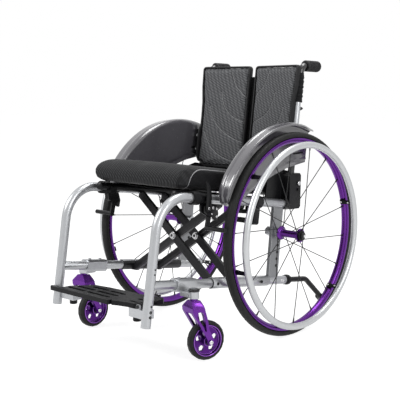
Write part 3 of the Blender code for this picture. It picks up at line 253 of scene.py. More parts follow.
def spun(profile, centre, axis=(1.0, 0.0, 0.0), steps=48):
    """A profile of (radius, distance along the axis) turned about the axis. A profile that starts off the axis is
    closed into a ring."""
    axis = unit(np.asarray(axis, float))
    first = unit(np.cross(axis, (0.0, 0.0, 1.0) if abs(axis[2]) < 0.9 else (0.0, 1.0, 0.0)))
    second = np.cross(axis, first)
    t = np.linspace(0, 2 * np.pi, steps, endpoint=False)
    out, along = np.asarray(profile, float).T
    round_it = first * np.cos(t)[:, None] + second * np.sin(t)[:, None]
    grid = np.asarray(centre, float) + out[None, :, None] * round_it[:, None] + along[None, :, None] * axis
    return surface(grid, around=out[0] > 0, along=True)


def mirrored(shape, side=-1):
    """The same shape on the other side of the chair, with its faces turned back outwards."""
    return shape if side > 0 else (shape[0] * (-1.0, 1.0, 1.0), shape[1][:, ::-1])


def on_side(shapes, side):
    return [mirrored(shape, side) for shape in shapes]


def piece(name, shapes, look, body, *stands_for, crease=35):
    """Joins shapes into one object, welds points that meet, and fits it to its body and its CAD parts."""
    starts = np.cumsum([0] + [len(points) for points, faces in shapes])
    points = np.concatenate([points for points, faces in shapes]) + (0.0, DATUM_Y, 0.0)
    faces = np.concatenate([faces + first for (_, faces), first in zip(shapes, starts)])
    data = bpy.data.meshes.new(name)
    data.from_pydata(points.tolist(), [], faces.tolist())
    welded = bmesh.new()
    welded.from_mesh(data)
    bmesh.ops.remove_doubles(welded, verts=welded.verts, dist=1e-6)
    welded.to_mesh(data)
    welded.free()
    return fitted(name, data, look, body, stands_for, crease)


def fitted(name, data, look, body, stands_for=(), crease=35):
    data.materials.append(look)
    data.shade_smooth()
    data.set_sharp_from_angle(angle=math.radians(crease))
    made = bpy.data.objects.new(name, data)
    scene.collection.objects.link(made)
    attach(made, body)
    if stands_for:
        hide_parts(*stands_for)
    return made


def eased(node, look, width=0.0007, name=None, crease=38):
    """A finished copy of a CAD part: points welded, flat areas made whole, and a small round on every edge."""
    source = frame["nodes"][node]
    whole = bmesh.new()
    whole.from_mesh(source.data)
    bmesh.ops.remove_doubles(whole, verts=whole.verts, dist=2e-6)
    bmesh.ops.dissolve_limit(whole, angle_limit=math.radians(1.5), verts=whole.verts, edges=whole.edges)
    data = bpy.data.meshes.new(name or node + "_finished")
    whole.to_mesh(data)
    whole.free()
    made = fitted(data.name, data, look, source.parent.name.split(":")[-1], (node,), crease)
    edge = made.modifiers.new("eased_edges", "BEVEL")
    edge.width, edge.segments, edge.limit_method = width, 2, "ANGLE"
    edge.angle_limit = math.radians(crease)
    edge.use_clamp_overlap = True
    edge.harden_normals = True
    return made


def walled(made, thickness):
    """Gives a skin its wall, half to each side."""
    wall = made.modifiers.new("wall", "SOLIDIFY")
    wall.thickness, wall.offset = thickness, 0.0


def finish(name, slot, colour, rough, metal=0.0, **sockets):
    """A material with one colour; the sockets named after it keep one value over the whole surface."""
    look = bpy.data.materials.new(name)
    look.use_nodes = True
    look["slot"] = slot
    shader = look.node_tree.nodes["Principled BSDF"]
    shader.inputs["Base Color"].default_value = (*colour, 1.0)
    shader.inputs["Roughness"].default_value = rough
    shader.inputs["Metallic"].default_value = metal
    for socket, value in sockets.items():
        shader.inputs[socket.replace("_", " ")].default_value = value
    look.diffuse_color = (*colour, 1.0)
    return look


def node_of(look, kind, **values):
    made = look.node_tree.nodes.new(kind)
    for name, value in values.items():
        setattr(made, name, value)
    return made


def wire(look, source, target):
    look.node_tree.links.new(source, target)


def place_of(look, stretch=(1.0, 1.0, 1.0), turned=(0.0, 0.0, 0.0), moved=(0.0, 0.0, 0.0)):
    """Where a point of the piece is, moved, turned and stretched."""
    where = node_of(look, "ShaderNodeTexCoord")
    mapping = node_of(look, "ShaderNodeMapping")
    mapping.inputs["Location"].default_value = moved
    mapping.inputs["Rotation"].default_value = turned
    mapping.inputs["Scale"].default_value = stretch
    wire(look, where.outputs["Object"], mapping.inputs["Vector"])
    return mapping.outputs["Vector"]


def clouds(look, size, detail=3.0, where=None, rough=0.55):
    """Noise whose blobs are about size across, from 0 to 1."""
    made = node_of(look, "ShaderNodeTexNoise")
    made.inputs["Scale"].default_value = 1.0 / size
    made.inputs["Detail"].default_value = detail
    made.inputs["Roughness"].default_value = rough
    wire(look, where or place_of(look), made.inputs["Vector"])
    return made.outputs["Fac"]


def spread(look, value, low, high, start=0.3, stop=0.7):
    """The value between start and stop becomes low to high."""
    made = node_of(look, "ShaderNodeMapRange")
    for name, number in (("From Min", start), ("From Max", stop), ("To Min", low), ("To Max", high)):
        made.inputs[name].default_value = number
    wire(look, value, made.inputs["Value"])
    return made.outputs["Result"]


def sums(look, kind, first, second=0.5):
    """One step of arithmetic on a value."""
    made = node_of(look, "ShaderNodeMath", operation=kind)
    for socket, value in zip(made.inputs, (first, second)):
        if isinstance(value, (int, float)):
            socket.default_value = value
        else:
            wire(look, value, socket)
    return made.outputs[0]


def roughen(look, value):
    wire(look, value, look.node_tree.nodes["Principled BSDF"].inputs["Roughness"])


def colour_by(look, value, low, high):
    """Base colour goes from low to high with the value; a second call blends over what is there."""
    target = look.node_tree.nodes["Principled BSDF"].inputs["Base Color"]
    made = node_of(look, "ShaderNodeMix", data_type="RGBA")
    wire(look, value, made.inputs[0])
    if target.is_linked:
        wire(look, target.links[0].from_socket, made.inputs[6])
    else:
        made.inputs[6].default_value = (*low, 1.0)
    made.inputs[7].default_value = (*high, 1.0)
    wire(look, made.outputs[2], target)


def emboss(look, value, height):
    """Raises the surface by height where the value is 1."""
    target = look.node_tree.nodes["Principled BSDF"].inputs["Normal"]
    made = node_of(look, "ShaderNodeBump")
    made.inputs["Distance"].default_value = height
    wire(look, value, made.inputs["Height"])
    if target.is_linked:
        wire(look, target.links[0].from_socket, made.inputs["Normal"])
    wire(look, made.outputs["Normal"], target)


def mottle(look, size, low, high):
    """Blobs about size across shift the colour from low to high."""
    colour_by(look, clouds(look, size), low, high)


def uneven_gloss(look, size, low, high):
    """Blobs about size across shift the roughness from low to high."""
    roughen(look, spread(look, clouds(look, size), low, high))


def grain(look, size, detail, height):
    """Bumps about size across and height high."""
    emboss(look, clouds(look, size, detail), height)


def pale_edge_highlights(look, colour, amount=0.6, start=0.53, stop=0.6):
    """Convex edges are painted paler in patches: a painted highlight where the edges catch the light."""
    bend = node_of(look, "ShaderNodeNewGeometry").outputs["Pointiness"]
    patchy = sums(look, "MULTIPLY", spread(look, bend, 0.0, amount, start, stop), clouds(look, 0.006))
    colour_by(look, patchy, colour, colour)


silver = finish("sprayed_silver", "silver_paint", (0.43, 0.44, 0.455), 0.34, 0.85, Coat_Weight=0.15, Coat_Roughness=0.2)
colour_by(silver, spread(silver, clouds(silver, 0.0011, 2), 0.0, 1.0), (0.40, 0.41, 0.425), (0.49, 0.50, 0.515))
uneven_gloss(silver, 0.02, 0.30, 0.40)
grain(silver, 0.0016, 2, 0.00002)

black_paint = finish("satin_black_paint", "black_paint", (0.006, 0.006, 0.007), 0.32, 0.0, Specular_IOR_Level=0.2)
mottle(black_paint, 0.03, (0.004, 0.004, 0.005), (0.009, 0.009, 0.010))
uneven_gloss(black_paint, 0.004, 0.27, 0.42)
grain(black_paint, 0.0009, 2, 0.00006)

plug_black = finish("moulded_black", "black_plastic", (0.006, 0.006, 0.007), 0.42, 0.0, Specular_IOR_Level=0.15)
mottle(plug_black, 0.02, (0.004, 0.004, 0.005), (0.010, 0.010, 0.011))
uneven_gloss(plug_black, 0.003, 0.36, 0.54)
grain(plug_black, 0.0007, 3, 0.00008)

steel = finish("bright_steel", "steel", (0.62, 0.62, 0.63), 0.25, 1.0)
mottle(steel, 0.004, (0.54, 0.54, 0.55), (0.70, 0.70, 0.71))
uneven_gloss(steel, 0.0015, 0.18, 0.33)

dark_steel = finish("blackened_steel", "steel", (0.020, 0.020, 0.021), 0.35, 0.6)
mottle(dark_steel, 0.004, (0.014, 0.014, 0.015), (0.032, 0.032, 0.034))
uneven_gloss(dark_steel, 0.0015, 0.28, 0.42)

# Darker than the frame's silver: partly the drop plate's own raw alloy, partly painted shade.
plate_alloy_and_shade = finish("brushed_plate_alloy", "silver_paint", (0.25, 0.255, 0.265), 0.42, 0.8)
mottle(plate_alloy_and_shade, 0.004, (0.22, 0.225, 0.235), (0.29, 0.295, 0.305))
uneven_gloss(plate_alloy_and_shade, 0.002, 0.36, 0.48)

FOOT_END = (-0.5290, 0.1035)
KNEE = (-0.4835, RAIL_Z + 0.4835 * math.tan(SLOPE))
RAIL_END_Y = 0.0290
KNEE_RADIUS = 0.0950
PLUG_Z = (0.1045, 0.1255)
PLATE_HOLES, TOP_HOLE_Z, HOLE_PITCH = 5, 0.2738, 0.0199


def front_tube_y(z):
    """The front tube's centre line at a height."""
    return FOOT_END[0] + (z - FOOT_END[1]) * (KNEE[0] - FOOT_END[0]) / (KNEE[1] - FOOT_END[1])


def hole_with_shaded_floor(place, way, radius):
    """A shallow dished ring and a dark floor 2 mm down, for a drilled hole in a tube's wall; the dark floor is painted
    shade inside the hole.
    """
    profile = [(0, 0.0002), (radius * 0.8, 0.0002), (radius * 0.86, 0.0007), (radius, 0.0007), (radius, -0.002),
               (0, -0.002)]
    return spun(profile, place, way, 20)


def shifted(shape, x):
    """The shape moved sideways by x."""
    return shape[0] + (x, 0.0, 0.0), shape[1]


def bolt(place, way, radius, height, socket=0.5):
    """A domed screw head with a round recess: rim, dome and recess as one profile."""
    deep = height * 0.35
    profile = [(0, deep), (radius * socket, deep), (radius * socket, height * 0.97), (radius * 0.78, height),
               (radius * 0.95, height * 0.72), (radius, height * 0.4), (radius, -0.001), (0, -0.001)]
    return spun(profile, place, way, 24)


for side, name in SIDES:
    body = f"{name}_frame"
    path = bent([(FRAME_X, *FOOT_END), (FRAME_X, *KNEE), (FRAME_X, RAIL_END_Y, RAIL_Z - RAIL_END_Y * math.tan(SLOPE))],
                KNEE_RADIUS, 24)
    bored = [(0.0, TUBE - 0.0004), (0.0, TUBE - 0.0018), (-0.0265, TUBE - 0.0020), (-0.0265, 0)]
    main = tube(path, TUBE, start=[(-0.0003, TUBE), *bored], end=eased_end(TUBE, 0.0004))
    piece(f"{name}_bent_tube", [mirrored(main, side)], silver, body, f"{name}_side_tube")
    low, high = np.array([(FRAME_X, front_tube_y(z), z) for z in PLUG_Z])
    plug = tube([low, high], TUBE - 0.0022, start=eased_end(TUBE - 0.0022, 0.0012))
    piece(f"{name}_foot_plug", [mirrored(plug, side)], plug_black, body)
    holes = [hole_with_shaded_floor((FRAME_X + TUBE, front_tube_y(z), z), (1, 0, 0), r)
             for z, r in ((0.2507, 0.0022), (0.2382, 0.0022))]
    screws = [bolt((FRAME_X + TUBE - 0.0008, front_tube_y(z), z), (1, 0, 0), r, 0.0022)
              for z, r in ((0.1589, 0.0028), (0.1443, 0.0042), (0.1320, 0.0042))]
    for i in range(PLATE_HOLES):
        z = TOP_HOLE_Z - HOLE_PITCH * i
        low, high = on_rail(0, 0.0037, LOWER_H + 0.0063), on_rail(0, -0.0017, 0.0)
        y = low[1] + (z - low[2]) * (high[1] - low[1]) / (high[2] - low[2]) + 0.0094
        holes += [hole_with_shaded_floor((FRAME_X + face * 0.0053, y, z), (face, 0, 0), 0.0046) for face in (-1, 1)]
    # Each hole's dark floor is painted shade, in the moulded black.
    piece(f"{name}_tube_holes", on_side(holes, side), plug_black, body)
    # The plate skin's darker alloy is partly its own finish and partly painted shade.
    plate = swept([low, high], squarish(0.0442, 0.0108, 14, 48), flat=(0, 1, 0))
    piece(f"{name}_drop_plate", [mirrored(shifted(plate, FRAME_X), side)], plate_alloy_and_shade, body)
    piece(f"{name}_tube_screws", on_side(screws, side), dark_steel, body)
    eased(f"{name}_lower_frame", silver, 0.0006)

# Clamps and cradles on the frames
# Cast and moulded blocks that grip the tubes: front seat cradles in moulded nylon, the rest painted black, with
# bright cap screws. The caster housings and foot brackets are cast aluminium in the frame's silver, with a
# black cap over each stem's bearing and a black rubber bumper under each footrest bracket.


def cane_y(z):
    """The back tubes' centre lines at a height."""
    return 0.0557 + 0.114 * (z - 0.4389)


STEM_X, STEM_Y = 0.2226, -0.3992
BRAKE_Y, BRAKE_Z = -0.3260, 0.3908
for side, name in SIDES:
    eased(f"{name}_front_saddle", plug_black, 0.0008)
    eased(f"{name}_rear_saddle", black_paint, 0.0006)
    eased(f"{name}_caster_housing", silver, 0.0009)
    eased(f"{name}_foot_bracket", silver, 0.0008)
    eased(f"{name}_back_bracket", black_paint, 0.0010)
    eased(f"{name}_guard_clamp", black_paint, 0.0008)
    eased(f"{name}_brake_clamp", black_paint, 0.0006)
    eased(f"{name}_brake_shoe", black_paint, 0.0006)
    body = f"{name}_frame"
    bumper = [(0, 0.1093), (0.0086, 0.1093), (0.0100, 0.1099), (0.0107, 0.1115), (0.0108, 0.1215), (0, 0.1215)]
    stop = spun(bumper, (0.1291, -0.5110, 0), (0, 0, 1), 32)
    cap = [(0.0143, 0.1845), (0.0146, 0.1850), (0.0146, 0.1878), (0.0141, 0.1892), (0.0118, 0.1912), (0.0106, 0.1917),
           (0.0100, 0.1909), (0, 0.1909)]
    lid = spun([(0, 0.1845), *cap], (STEM_X, STEM_Y, 0), (0, 0, 1), 36)
    piece(f"{name}_foot_bumper", [mirrored(stop, side)], plug_black, body)
    piece(f"{name}_caster_cap", [mirrored(lid, side)], dark_steel, body)
    silver_bolts = [bolt((0.1994, 0.0740, 0.4330), (1, 0, 0), 0.0066, 0.0026)]
    silver_bolts += [bolt((0.1944, cane_y(z) - 0.0190, z), (0, -1, 0), 0.0050, 0.0022) for z in (0.5622, 0.5183)]
    silver_bolts.append(bolt((0.2064, -0.2550, 0.4130), (1, 0, 0), 0.0052, 0.0020))
    silver_bolts += [bolt((0.1862, y, z), (1, 0, 0), 0.0030, 0.0014) for y, z in ((-0.3190, 0.3890), (-0.3060, 0.3850))]
    silver_bolts.append(bolt((0.2045, BRAKE_Y, BRAKE_Z), (1, 0, 0), 0.0042, 0.0018))
    silver_bolts.append(bolt((0.1934, -0.3093, 0.3762), (1, 0, 0), 0.0042, 0.0018))
    piece(f"{name}_clamp_bolts", on_side(silver_bolts, side), steel, body)
    rise = np.array([-0.0082, -0.0078, -0.0050, 0.0020, 0.0150, 0.0300, 0.0450, 0.0570, 0.0660, 0.0704, 0.0708])
    half = np.array([0.0001, 0.0060, 0.0080, 0.0090, 0.0098, 0.0098, 0.0084, 0.0060, 0.0036, 0.0014, 0.0001])
    lean = np.array([0.0, 0.0, 0.0, 0.0, 0.0008, 0.0014, 0.0004, -0.0028, -0.0068, -0.0098, -0.0100])
    thick = np.minimum(0.0032, 0.0012 + half * 0.4)
    ring = squarish(2.0, 2.0, 2.6, 24)
    blade = np.stack([0.2022 + thick[:, None] * ring[:, 1], BRAKE_Y + lean[:, None] + half[:, None] * ring[:, 0],
                      np.broadcast_to(BRAKE_Z + rise[:, None], (11, 24))], axis=-1)
    piece(f"{name}_brake_blade", [mirrored(surface(blade), side)], black_paint, f"{name}_lever", f"{name}_brake_lever")
    corners = np.array([(-0.3340, 0.3995), (-0.3110, 0.4035), (-0.2885, 0.3960), (-0.2820, 0.3740), (-0.2862, 0.3535),
                        (-0.2960, 0.3560), (-0.3075, 0.3660), (-0.3230, 0.3720), (-0.3360, 0.3820)])
    first = (corners[0] + corners[-1]) / 2
    outline = bent([(*p, 0) for p in (first, *corners, first)], 0.0035, 5)[:-1, :2]
    middle = outline.mean(axis=0)
    rings = [(0.1930, 0.0), (0.1930, 0.94), (0.1938, 1.0), (0.1976, 1.0), (0.1984, 0.94), (0.1984, 0.0)]
    plate = np.array([np.column_stack([np.full(len(outline), x), middle + (outline - middle) * size])
                      for x, size in rings])
    piece(f"{name}_brake_body", [mirrored(surface(plate), side)], black_paint, body, crease=40)
    dots = [bolt((0.1982, y, z), (1, 0, 0), r, 0.0020) for y, z, r in (
        (-0.3040, 0.3900, 0.0042), (-0.2905, 0.3860, 0.0030), (-0.2905, 0.3660, 0.0036), (-0.3090, 0.3745, 0.0028))]
    piece(f"{name}_brake_screws", on_side(dots, side), steel, body)

# Cross brace
# Two pairs of flat black bars that cross at big bright bolts. Each pair turns on a lower tube and carries a seat
# tube on its upper ends. The bars are painted extrusion with eased edges, paled in patches by a painted highlight.

brace_black = finish("brace_black", "black_paint", (0.009, 0.009, 0.010), 0.36, 0.0, Specular_IOR_Level=0.25)
mottle(brace_black, 0.02, (0.006, 0.006, 0.007), (0.015, 0.015, 0.017))
# The paler edges are a painted highlight along the bars' convex edges.
pale_edge_highlights(brace_black, (0.30, 0.30, 0.31))
uneven_gloss(brace_black, 0.004, 0.30, 0.46)
grain(brace_black, 0.0008, 2, 0.00005)
for node in ("brace_pair_a", "brace_pair_b"):
    eased(node, brace_black, 0.0009)
for node in ("left_seat_tube", "right_seat_tube"):
    eased(node, black_paint, 0.0004)

BOLT_H = -0.1181
CROSSINGS = (-0.2305, -0.1358)
BAR_FACE = 0.0120
along_rail = on_rail(0, 1, 0) - on_rail(0, 0, 0)
heads = []
for t in CROSSINGS:
    front = on_rail(0, t - BAR_FACE - 0.0012, BOLT_H)
    head = [(0, 0.0020), (0.0040, 0.0020), (0.0046, 0.0038), (0.0076, 0.0038), (0.0086, 0.0030), (0.0088, 0.0),
            (0.0088, -0.0003), (0.0104, -0.0003), (0.0108, -0.0008), (0.0108, -0.0014), (0, -0.0014)]
    heads.append(spun(head, front, -along_rail, 36))
    back = on_rail(0, t + BAR_FACE, BOLT_H)
    nut = [(0, 0.0066), (0.0044, 0.0066), (0.0044, 0.0059), (0.0080, 0.0059), (0.0088, 0.0052), (0.0088, 0.0012),
           (0.0108, 0.0010), (0.0108, 0.0003), (0, 0.0003)]
    heads.append(spun(nut, back, along_rail, 6))
piece("crossing_bolts", heads, steel, "brace_b")
SLEEVE = 0.0147
for side, name, body in ((1, "left", "brace_b"), (-1, "right", "brace_a")):
    t, angle = np.linspace(-0.2670, -0.0214, 4), np.radians(np.linspace(-88, 128, 30))
    arc = np.stack([FRAME_X + (SLEEVE + 0.0003) * np.cos(angle), LOWER_H + (SLEEVE + 0.0003) * np.sin(angle)], axis=-1)
    shell = np.stack(on_rail(np.broadcast_to(arc[:, 0], (4, 30)), np.broadcast_to(t[:, None], (4, 30)),
                             np.broadcast_to(arc[:, 1], (4, 30))), axis=-1)
    skin = piece(f"{name}_lower_sleeve", [mirrored(surface(shell, around=False), side)], silver, body)
    walled(skin, 0.0006)
    screws = [bolt(on_rail(FRAME_X + SLEEVE + 0.0002, t, LOWER_H), (1, 0, 0), 0.0044, 0.0024)
              for t in (-0.2510, -0.0610)]
    piece(f"{name}_sleeve_screws", on_side(screws, side), dark_steel, body)

# Footplate
# Two moulded black halves, one sliding in the other, with slots for drainage; the near one hinges on a
# blackened steel pin.

for node in ("footplate_near", "footplate_far"):
    eased(node, plug_black, 0.0008)
eased("hinge_pin", dark_steel, 0.0004)

# Anti-tip wheel
# A bent black tube that plugs into the left lower tube, with a small rubber-tyred wheel in its fork. A black
# collar closes the joint and a bright oval button sits in the lower tube.

eased("anti_tip_tube", black_paint, 0.0005)
collar = tube([on_rail(FRAME_X, t, LOWER_H) for t in (0.0655, 0.0715)], 0.0143,
              start=eased_end(0.0143, 0.0008), end=eased_end(0.0143, 0.0008))
piece("anti_tip_collar", [collar], plug_black, "left_frame")
button = [on_rail(x, 0.0400, LOWER_H) for x in (FRAME_X + 0.0090, FRAME_X + 0.0136)]
oval = swept(button, squarish(0.0170, 0.0096, 2.2, 36), flat=(0.0, 1.0, -0.117),
             end=[(0.0006, 0.94), (0.0006, 0.72), (0.0002, 0.66), (0.0002, 0)])
piece("anti_tip_button", [oval], steel, "left_frame")
rubber = finish("tyre_rubber", "black_rubber", (0.009, 0.009, 0.009), 0.6, 0.0, Specular_IOR_Level=0.25)
mottle(rubber, 0.05, (0.006, 0.006, 0.006), (0.014, 0.014, 0.014))
uneven_gloss(rubber, 0.006, 0.48, 0.70)
grain(rubber, 0.0012, 3, 0.00015)
eased("anti_tip_wheel", rubber, 0.0012)

# Rear wheels
# Solid grey-black tyres on purple anodised rims, with black spokes crossed from a turned purple hub, and bright
# push rims held off the rim by black standoffs. A quick-release axle with a push button goes through the hub.

AXLE_Y, AXLE_Z, WHEEL_X = -0.0125, 0.293877, 0.244
TYRE_R, PUSH_RIM_R, PUSH_RIM_WIRE = 0.2937, 0.2587, 0.0095
HUB_INNER, HUB_OUTER, FLANGE_R = 0.2020, 0.2740, 0.0172
SPOKES, SPOKE_R, SPOKE_END_R, STANDOFFS = 18, 0.00125, 0.2616, 6
purple = finish("purple_anodised", "purple_anodised", (0.120, 0.026, 0.245), 0.24, 0.95)
mottle(purple, 0.05, (0.098, 0.020, 0.205), (0.150, 0.036, 0.290))
uneven_gloss(purple, 0.003, 0.20, 0.30)
alloy = finish("push_rim_silver", "handrim_silver", (0.52, 0.53, 0.54), 0.36, 0.9)
mottle(alloy, 0.01, (0.49, 0.50, 0.51), (0.56, 0.57, 0.58))
uneven_gloss(alloy, 0.002, 0.33, 0.40)
spoke_black = finish("spoke_black", "black_paint", (0.008, 0.008, 0.009), 0.35, 0.3)
uneven_gloss(spoke_black, 0.002, 0.3, 0.42)
mottle(spoke_black, 0.01, (0.005, 0.005, 0.006), (0.012, 0.012, 0.013))


def tyre_shape(radius, half_width, depth, centre, steps=480):
    """Cross-section |x/w|^2.5 + |r/d|^2.5 = 1 about the bed line, with two grooves that take 0.8 mm off around
    x = ±3.4 mm and side lugs that take 0.5 mm off where a square wave of the wheel's angle is high."""
    s = np.linspace(0, 2 * np.pi, 56, endpoint=False)
    t = np.linspace(0, 2 * np.pi, steps, endpoint=False)
    across = half_width * np.sign(np.sin(s)) * np.abs(np.sin(s)) ** 0.8
    out = depth * np.sign(np.cos(s)) * np.abs(np.cos(s)) ** 0.8
    groove = 0.0008 * np.exp(-((np.abs(across) - 0.0034) / 0.0009) ** 4) * (out > 0)
    lugs = 0.0005 * (np.sin(t * 110) > 0.2)[:, None] * (np.exp(-((np.abs(across) - 0.0080) / 0.0022) ** 4) * (out > 0))
    r = radius - depth + out - groove - lugs
    grid = np.stack([np.broadcast_to(across, r.shape), r * np.sin(t)[:, None], r * np.cos(t)[:, None]], axis=-1)
    return surface(grid + centre, around=True, along=True)


for side, name in SIDES:
    body = f"{name}_wheel"
    centre = np.array([WHEEL_X, AXLE_Y, AXLE_Z])
    tyre = tyre_shape(TYRE_R, 0.0125, 0.0087, centre)
    piece(f"{name}_solid_tyre", [mirrored(tyre, side)], rubber, body, f"{name}_tyre")
    ring = [(0.2768, -0.0112), (0.2755, -0.0118), (0.2690, -0.0112), (0.2655, -0.0088), (0.2628, -0.0048),
            (0.2618, 0.0), (0.2628, 0.0048), (0.2655, 0.0088), (0.2690, 0.0112), (0.2755, 0.0118), (0.2768, 0.0112)]
    piece(f"{name}_rim_band", [mirrored(spun(ring, centre, steps=240), side)], purple, body, f"{name}_rim", crease=50)

    t = np.linspace(0, 2 * np.pi, 20, endpoint=False)
    hoop = np.column_stack([PUSH_RIM_R + PUSH_RIM_WIRE * np.cos(t), 0.0420 + PUSH_RIM_WIRE * np.sin(t)])
    piece(f"{name}_push_rim", [mirrored(spun(hoop, centre, steps=240), side)], alloy, body, f"{name}_handrim")
    posts, heads = [], []
    for i in range(STANDOFFS):
        angle = math.radians(17 + 360 / STANDOFFS * i)
        out = np.array([0.0, -math.cos(angle), -math.sin(angle)])
        low, high = centre + out * 0.2590 + (-0.0036, 0, 0), centre + out * 0.2588 + (0.0345, 0, 0)
        width = np.array([1.0, 1.0, 0.86, 0.8, 0.9])
        run = low + (high - low) * np.array([0, 0.25, 0.5, 0.8, 1.0])[:, None]
        posts.append(swept(run, squarish(0.0150, 0.0056, 4, 24), width, start=[(0.0004, 0.93), (0.0004, 0)],
                           flat=tuple(np.cross(out, (1.0, 0, 0)))))
        heads += [bolt(centre + out * 0.2566 + (x, 0, 0), -out, 0.0030, 0.0016) for x in (0.0, 0.0245)]
    piece(f"{name}_standoffs", on_side(posts, side), plug_black, body)
    piece(f"{name}_standoff_screws", on_side(heads, side), steel, body)

    inner, outer = HUB_INNER, HUB_OUTER
    shell = [(0.0064, inner - 0.0003), (0.0112, inner - 0.0003), (0.0120, inner + 0.0004), (0.0192, inner + 0.0004),
             (0.0200, inner + 0.0012), (0.0200, inner + 0.0038), (0.0190, inner + 0.0047), (0.0142, inner + 0.0056),
             (0.0118, inner + 0.0085), (0.0108, inner + 0.0150), (0.0106, (inner + outer) / 2),
             (0.0108, outer - 0.0150),
             (0.0118, outer - 0.0085), (0.0142, outer - 0.0056), (0.0190, outer - 0.0047),
             (0.0200, outer - 0.0038), (0.0192, outer - 0.0003), (0.0064, outer - 0.0003)]
    hub_centre = np.array([0.0, AXLE_Y, AXLE_Z])
    turned = mirrored(spun(shell, hub_centre, steps=72), side)
    piece(f"{name}_hub_shell", [turned], purple, body, f"{name}_hub", crease=40)
    cap = [(0.0064, outer - 0.0005), (0.0150, outer - 0.0005), (0.0155, outer + 0.0004), (0.0152, outer + 0.0030),
           (0.0142, outer + 0.0044), (0.0122, outer + 0.0049), (0.0064, outer + 0.0049)]
    piece(f"{name}_hub_cap", [mirrored(spun(cap, hub_centre, steps=64), side)], plug_black, body, crease=50)
    spokes, nipples = [], []
    for i in range(SPOKES):
        angle = math.radians(-6.5) + 2 * math.pi * i / SPOKES
        way = 1 if (i // 2) % 2 else -1
        face = -1 if i % 2 else 1
        flange = (inner + 0.00235 if i % 2 else outer - 0.00235) + 0.0014 * way
        lean = math.radians(42) * way
        start = np.array([flange, AXLE_Y + FLANGE_R * math.cos(angle + lean),
                          AXLE_Z + FLANGE_R * math.sin(angle + lean)])
        stop = np.array([WHEEL_X, AXLE_Y + SPOKE_END_R * math.cos(angle), AXLE_Z + SPOKE_END_R * math.sin(angle)])
        spokes.append(swept([start, stop], round_section(10), SPOKE_R))
        spokes.append(bolt(start + (0.0024 * face, 0, 0), (face, 0, 0), 0.0021, 0.0010, 0.2))
        run = [stop, stop + unit(start - stop) * 0.004, stop + unit(start - stop) * 0.0130]
        nipples.append(swept(run, round_section(12), [0.0026, 0.0024, 0.0017]))
    piece(f"{name}_spokes", on_side(spokes, side), spoke_black, body)
    piece(f"{name}_nipples", on_side(nipples, side), spoke_black, body)
    eased(f"{name}_axle", dark_steel, 0.0004)
    eased(f"{name}_axle_button", steel, 0.0006)

# Casters
# Machined purple forks with slotted legs on a stem, turned purple wheels with five windows, and solid tyres. The
# wheel runs on bearings on a bolt through the fork, and the left caster stands swivelled by 17.6 degrees. The
# wheels' darker purple is painted shade for their dish, and paler purple rings on their lips and hubs are painted
# highlights.

CASTER_TURN = -17.6
TRAIL, CASTER_AXLE_Z = 0.0366, 0.0519
# Paler purple rings on the caster wheels' lips, dish and hub: painted highlights.
purple_highlight_paint = finish("purple_polished_edge", "purple_anodised", (0.30, 0.11, 0.50), 0.18, 1.0)
mottle(purple_highlight_paint, 0.02, (0.26, 0.09, 0.45), (0.36, 0.15, 0.56))
uneven_gloss(purple_highlight_paint, 0.003, 0.14, 0.24)
# The caster wheels are a darker purple than the forks: painted shade for their recessed dish.
purple_shade_paint = finish("purple_turned_wheel", "purple_anodised", (0.070, 0.013, 0.155), 0.3, 0.95)
mottle(purple_shade_paint, 0.02, (0.058, 0.010, 0.130), (0.090, 0.018, 0.185))
uneven_gloss(purple_shade_paint, 0.003, 0.24, 0.36)


def about_stem(shape, side, angle):
    """The shape turned about the caster's stem: x' = x cos a - y sin a, y' = x sin a + y cos a."""
    stem = np.array([side * STEM_X, STEM_Y, 0.0])
    turned = np.array([[np.cos(angle), -np.sin(angle), 0], [np.sin(angle), np.cos(angle), 0], [0, 0, 1]])
    return (shape[0] - stem) @ turned.T + stem, shape[1]


for side, name in SIDES:
    eased(f"{name}_caster_fork", purple, 0.0012)
    eased(f"{name}_caster_wheel", purple_shade_paint, 0.0005)
    eased(f"{name}_caster_tyre", rubber, 0.0012)
    swivel = math.radians(CASTER_TURN) if side > 0 else 0.0
    centre = (STEM_X, STEM_Y + TRAIL, CASTER_AXLE_Z)
    lips = []
    for face in (-1, 1):
        for out, at, size in ((0.0404, 0.0113, 0.0011), (0.0364, 0.0052, 0.0009), (0.0125, 0.0150, 0.0008)):
            t = np.linspace(0, 2 * np.pi, 12, endpoint=False)
            lips.append(spun(np.column_stack([out + size * np.cos(t), face * at + size * np.sin(t)]), centre, steps=64))
    race = ((0.0050, 0.0156), (0.0100, 0.0156), (0.0100, 0.0163), (0.0050, 0.0163))
    bearing = [spun([(r, face * x) for r, x in race], centre, steps=40) for face in (-1, 1)]
    ends = [bolt((STEM_X + face * 0.0294, *centre[1:]), (face, 0, 0), 0.0056, 0.0022) for face in (-1, 1)]
    for label, shapes, look, body in (("caster_lips", lips, purple_highlight_paint, "caster"),
                                      ("caster_bearing", bearing, dark_steel, "caster"),
                                      ("caster_bolt", ends, steel, "fork")):
        turned = [about_stem(shape, side, swivel) for shape in on_side(shapes, side)]
        piece(f"{name}_{label}", turned, look, f"{name}_{body}")

# Back canes and push handles
# Tubes that lean back and bend into the push handles, silver between a black foot and a black bend, with ribbed
# black rubber grips pushed on. A black knob behind each tube holds the sling.

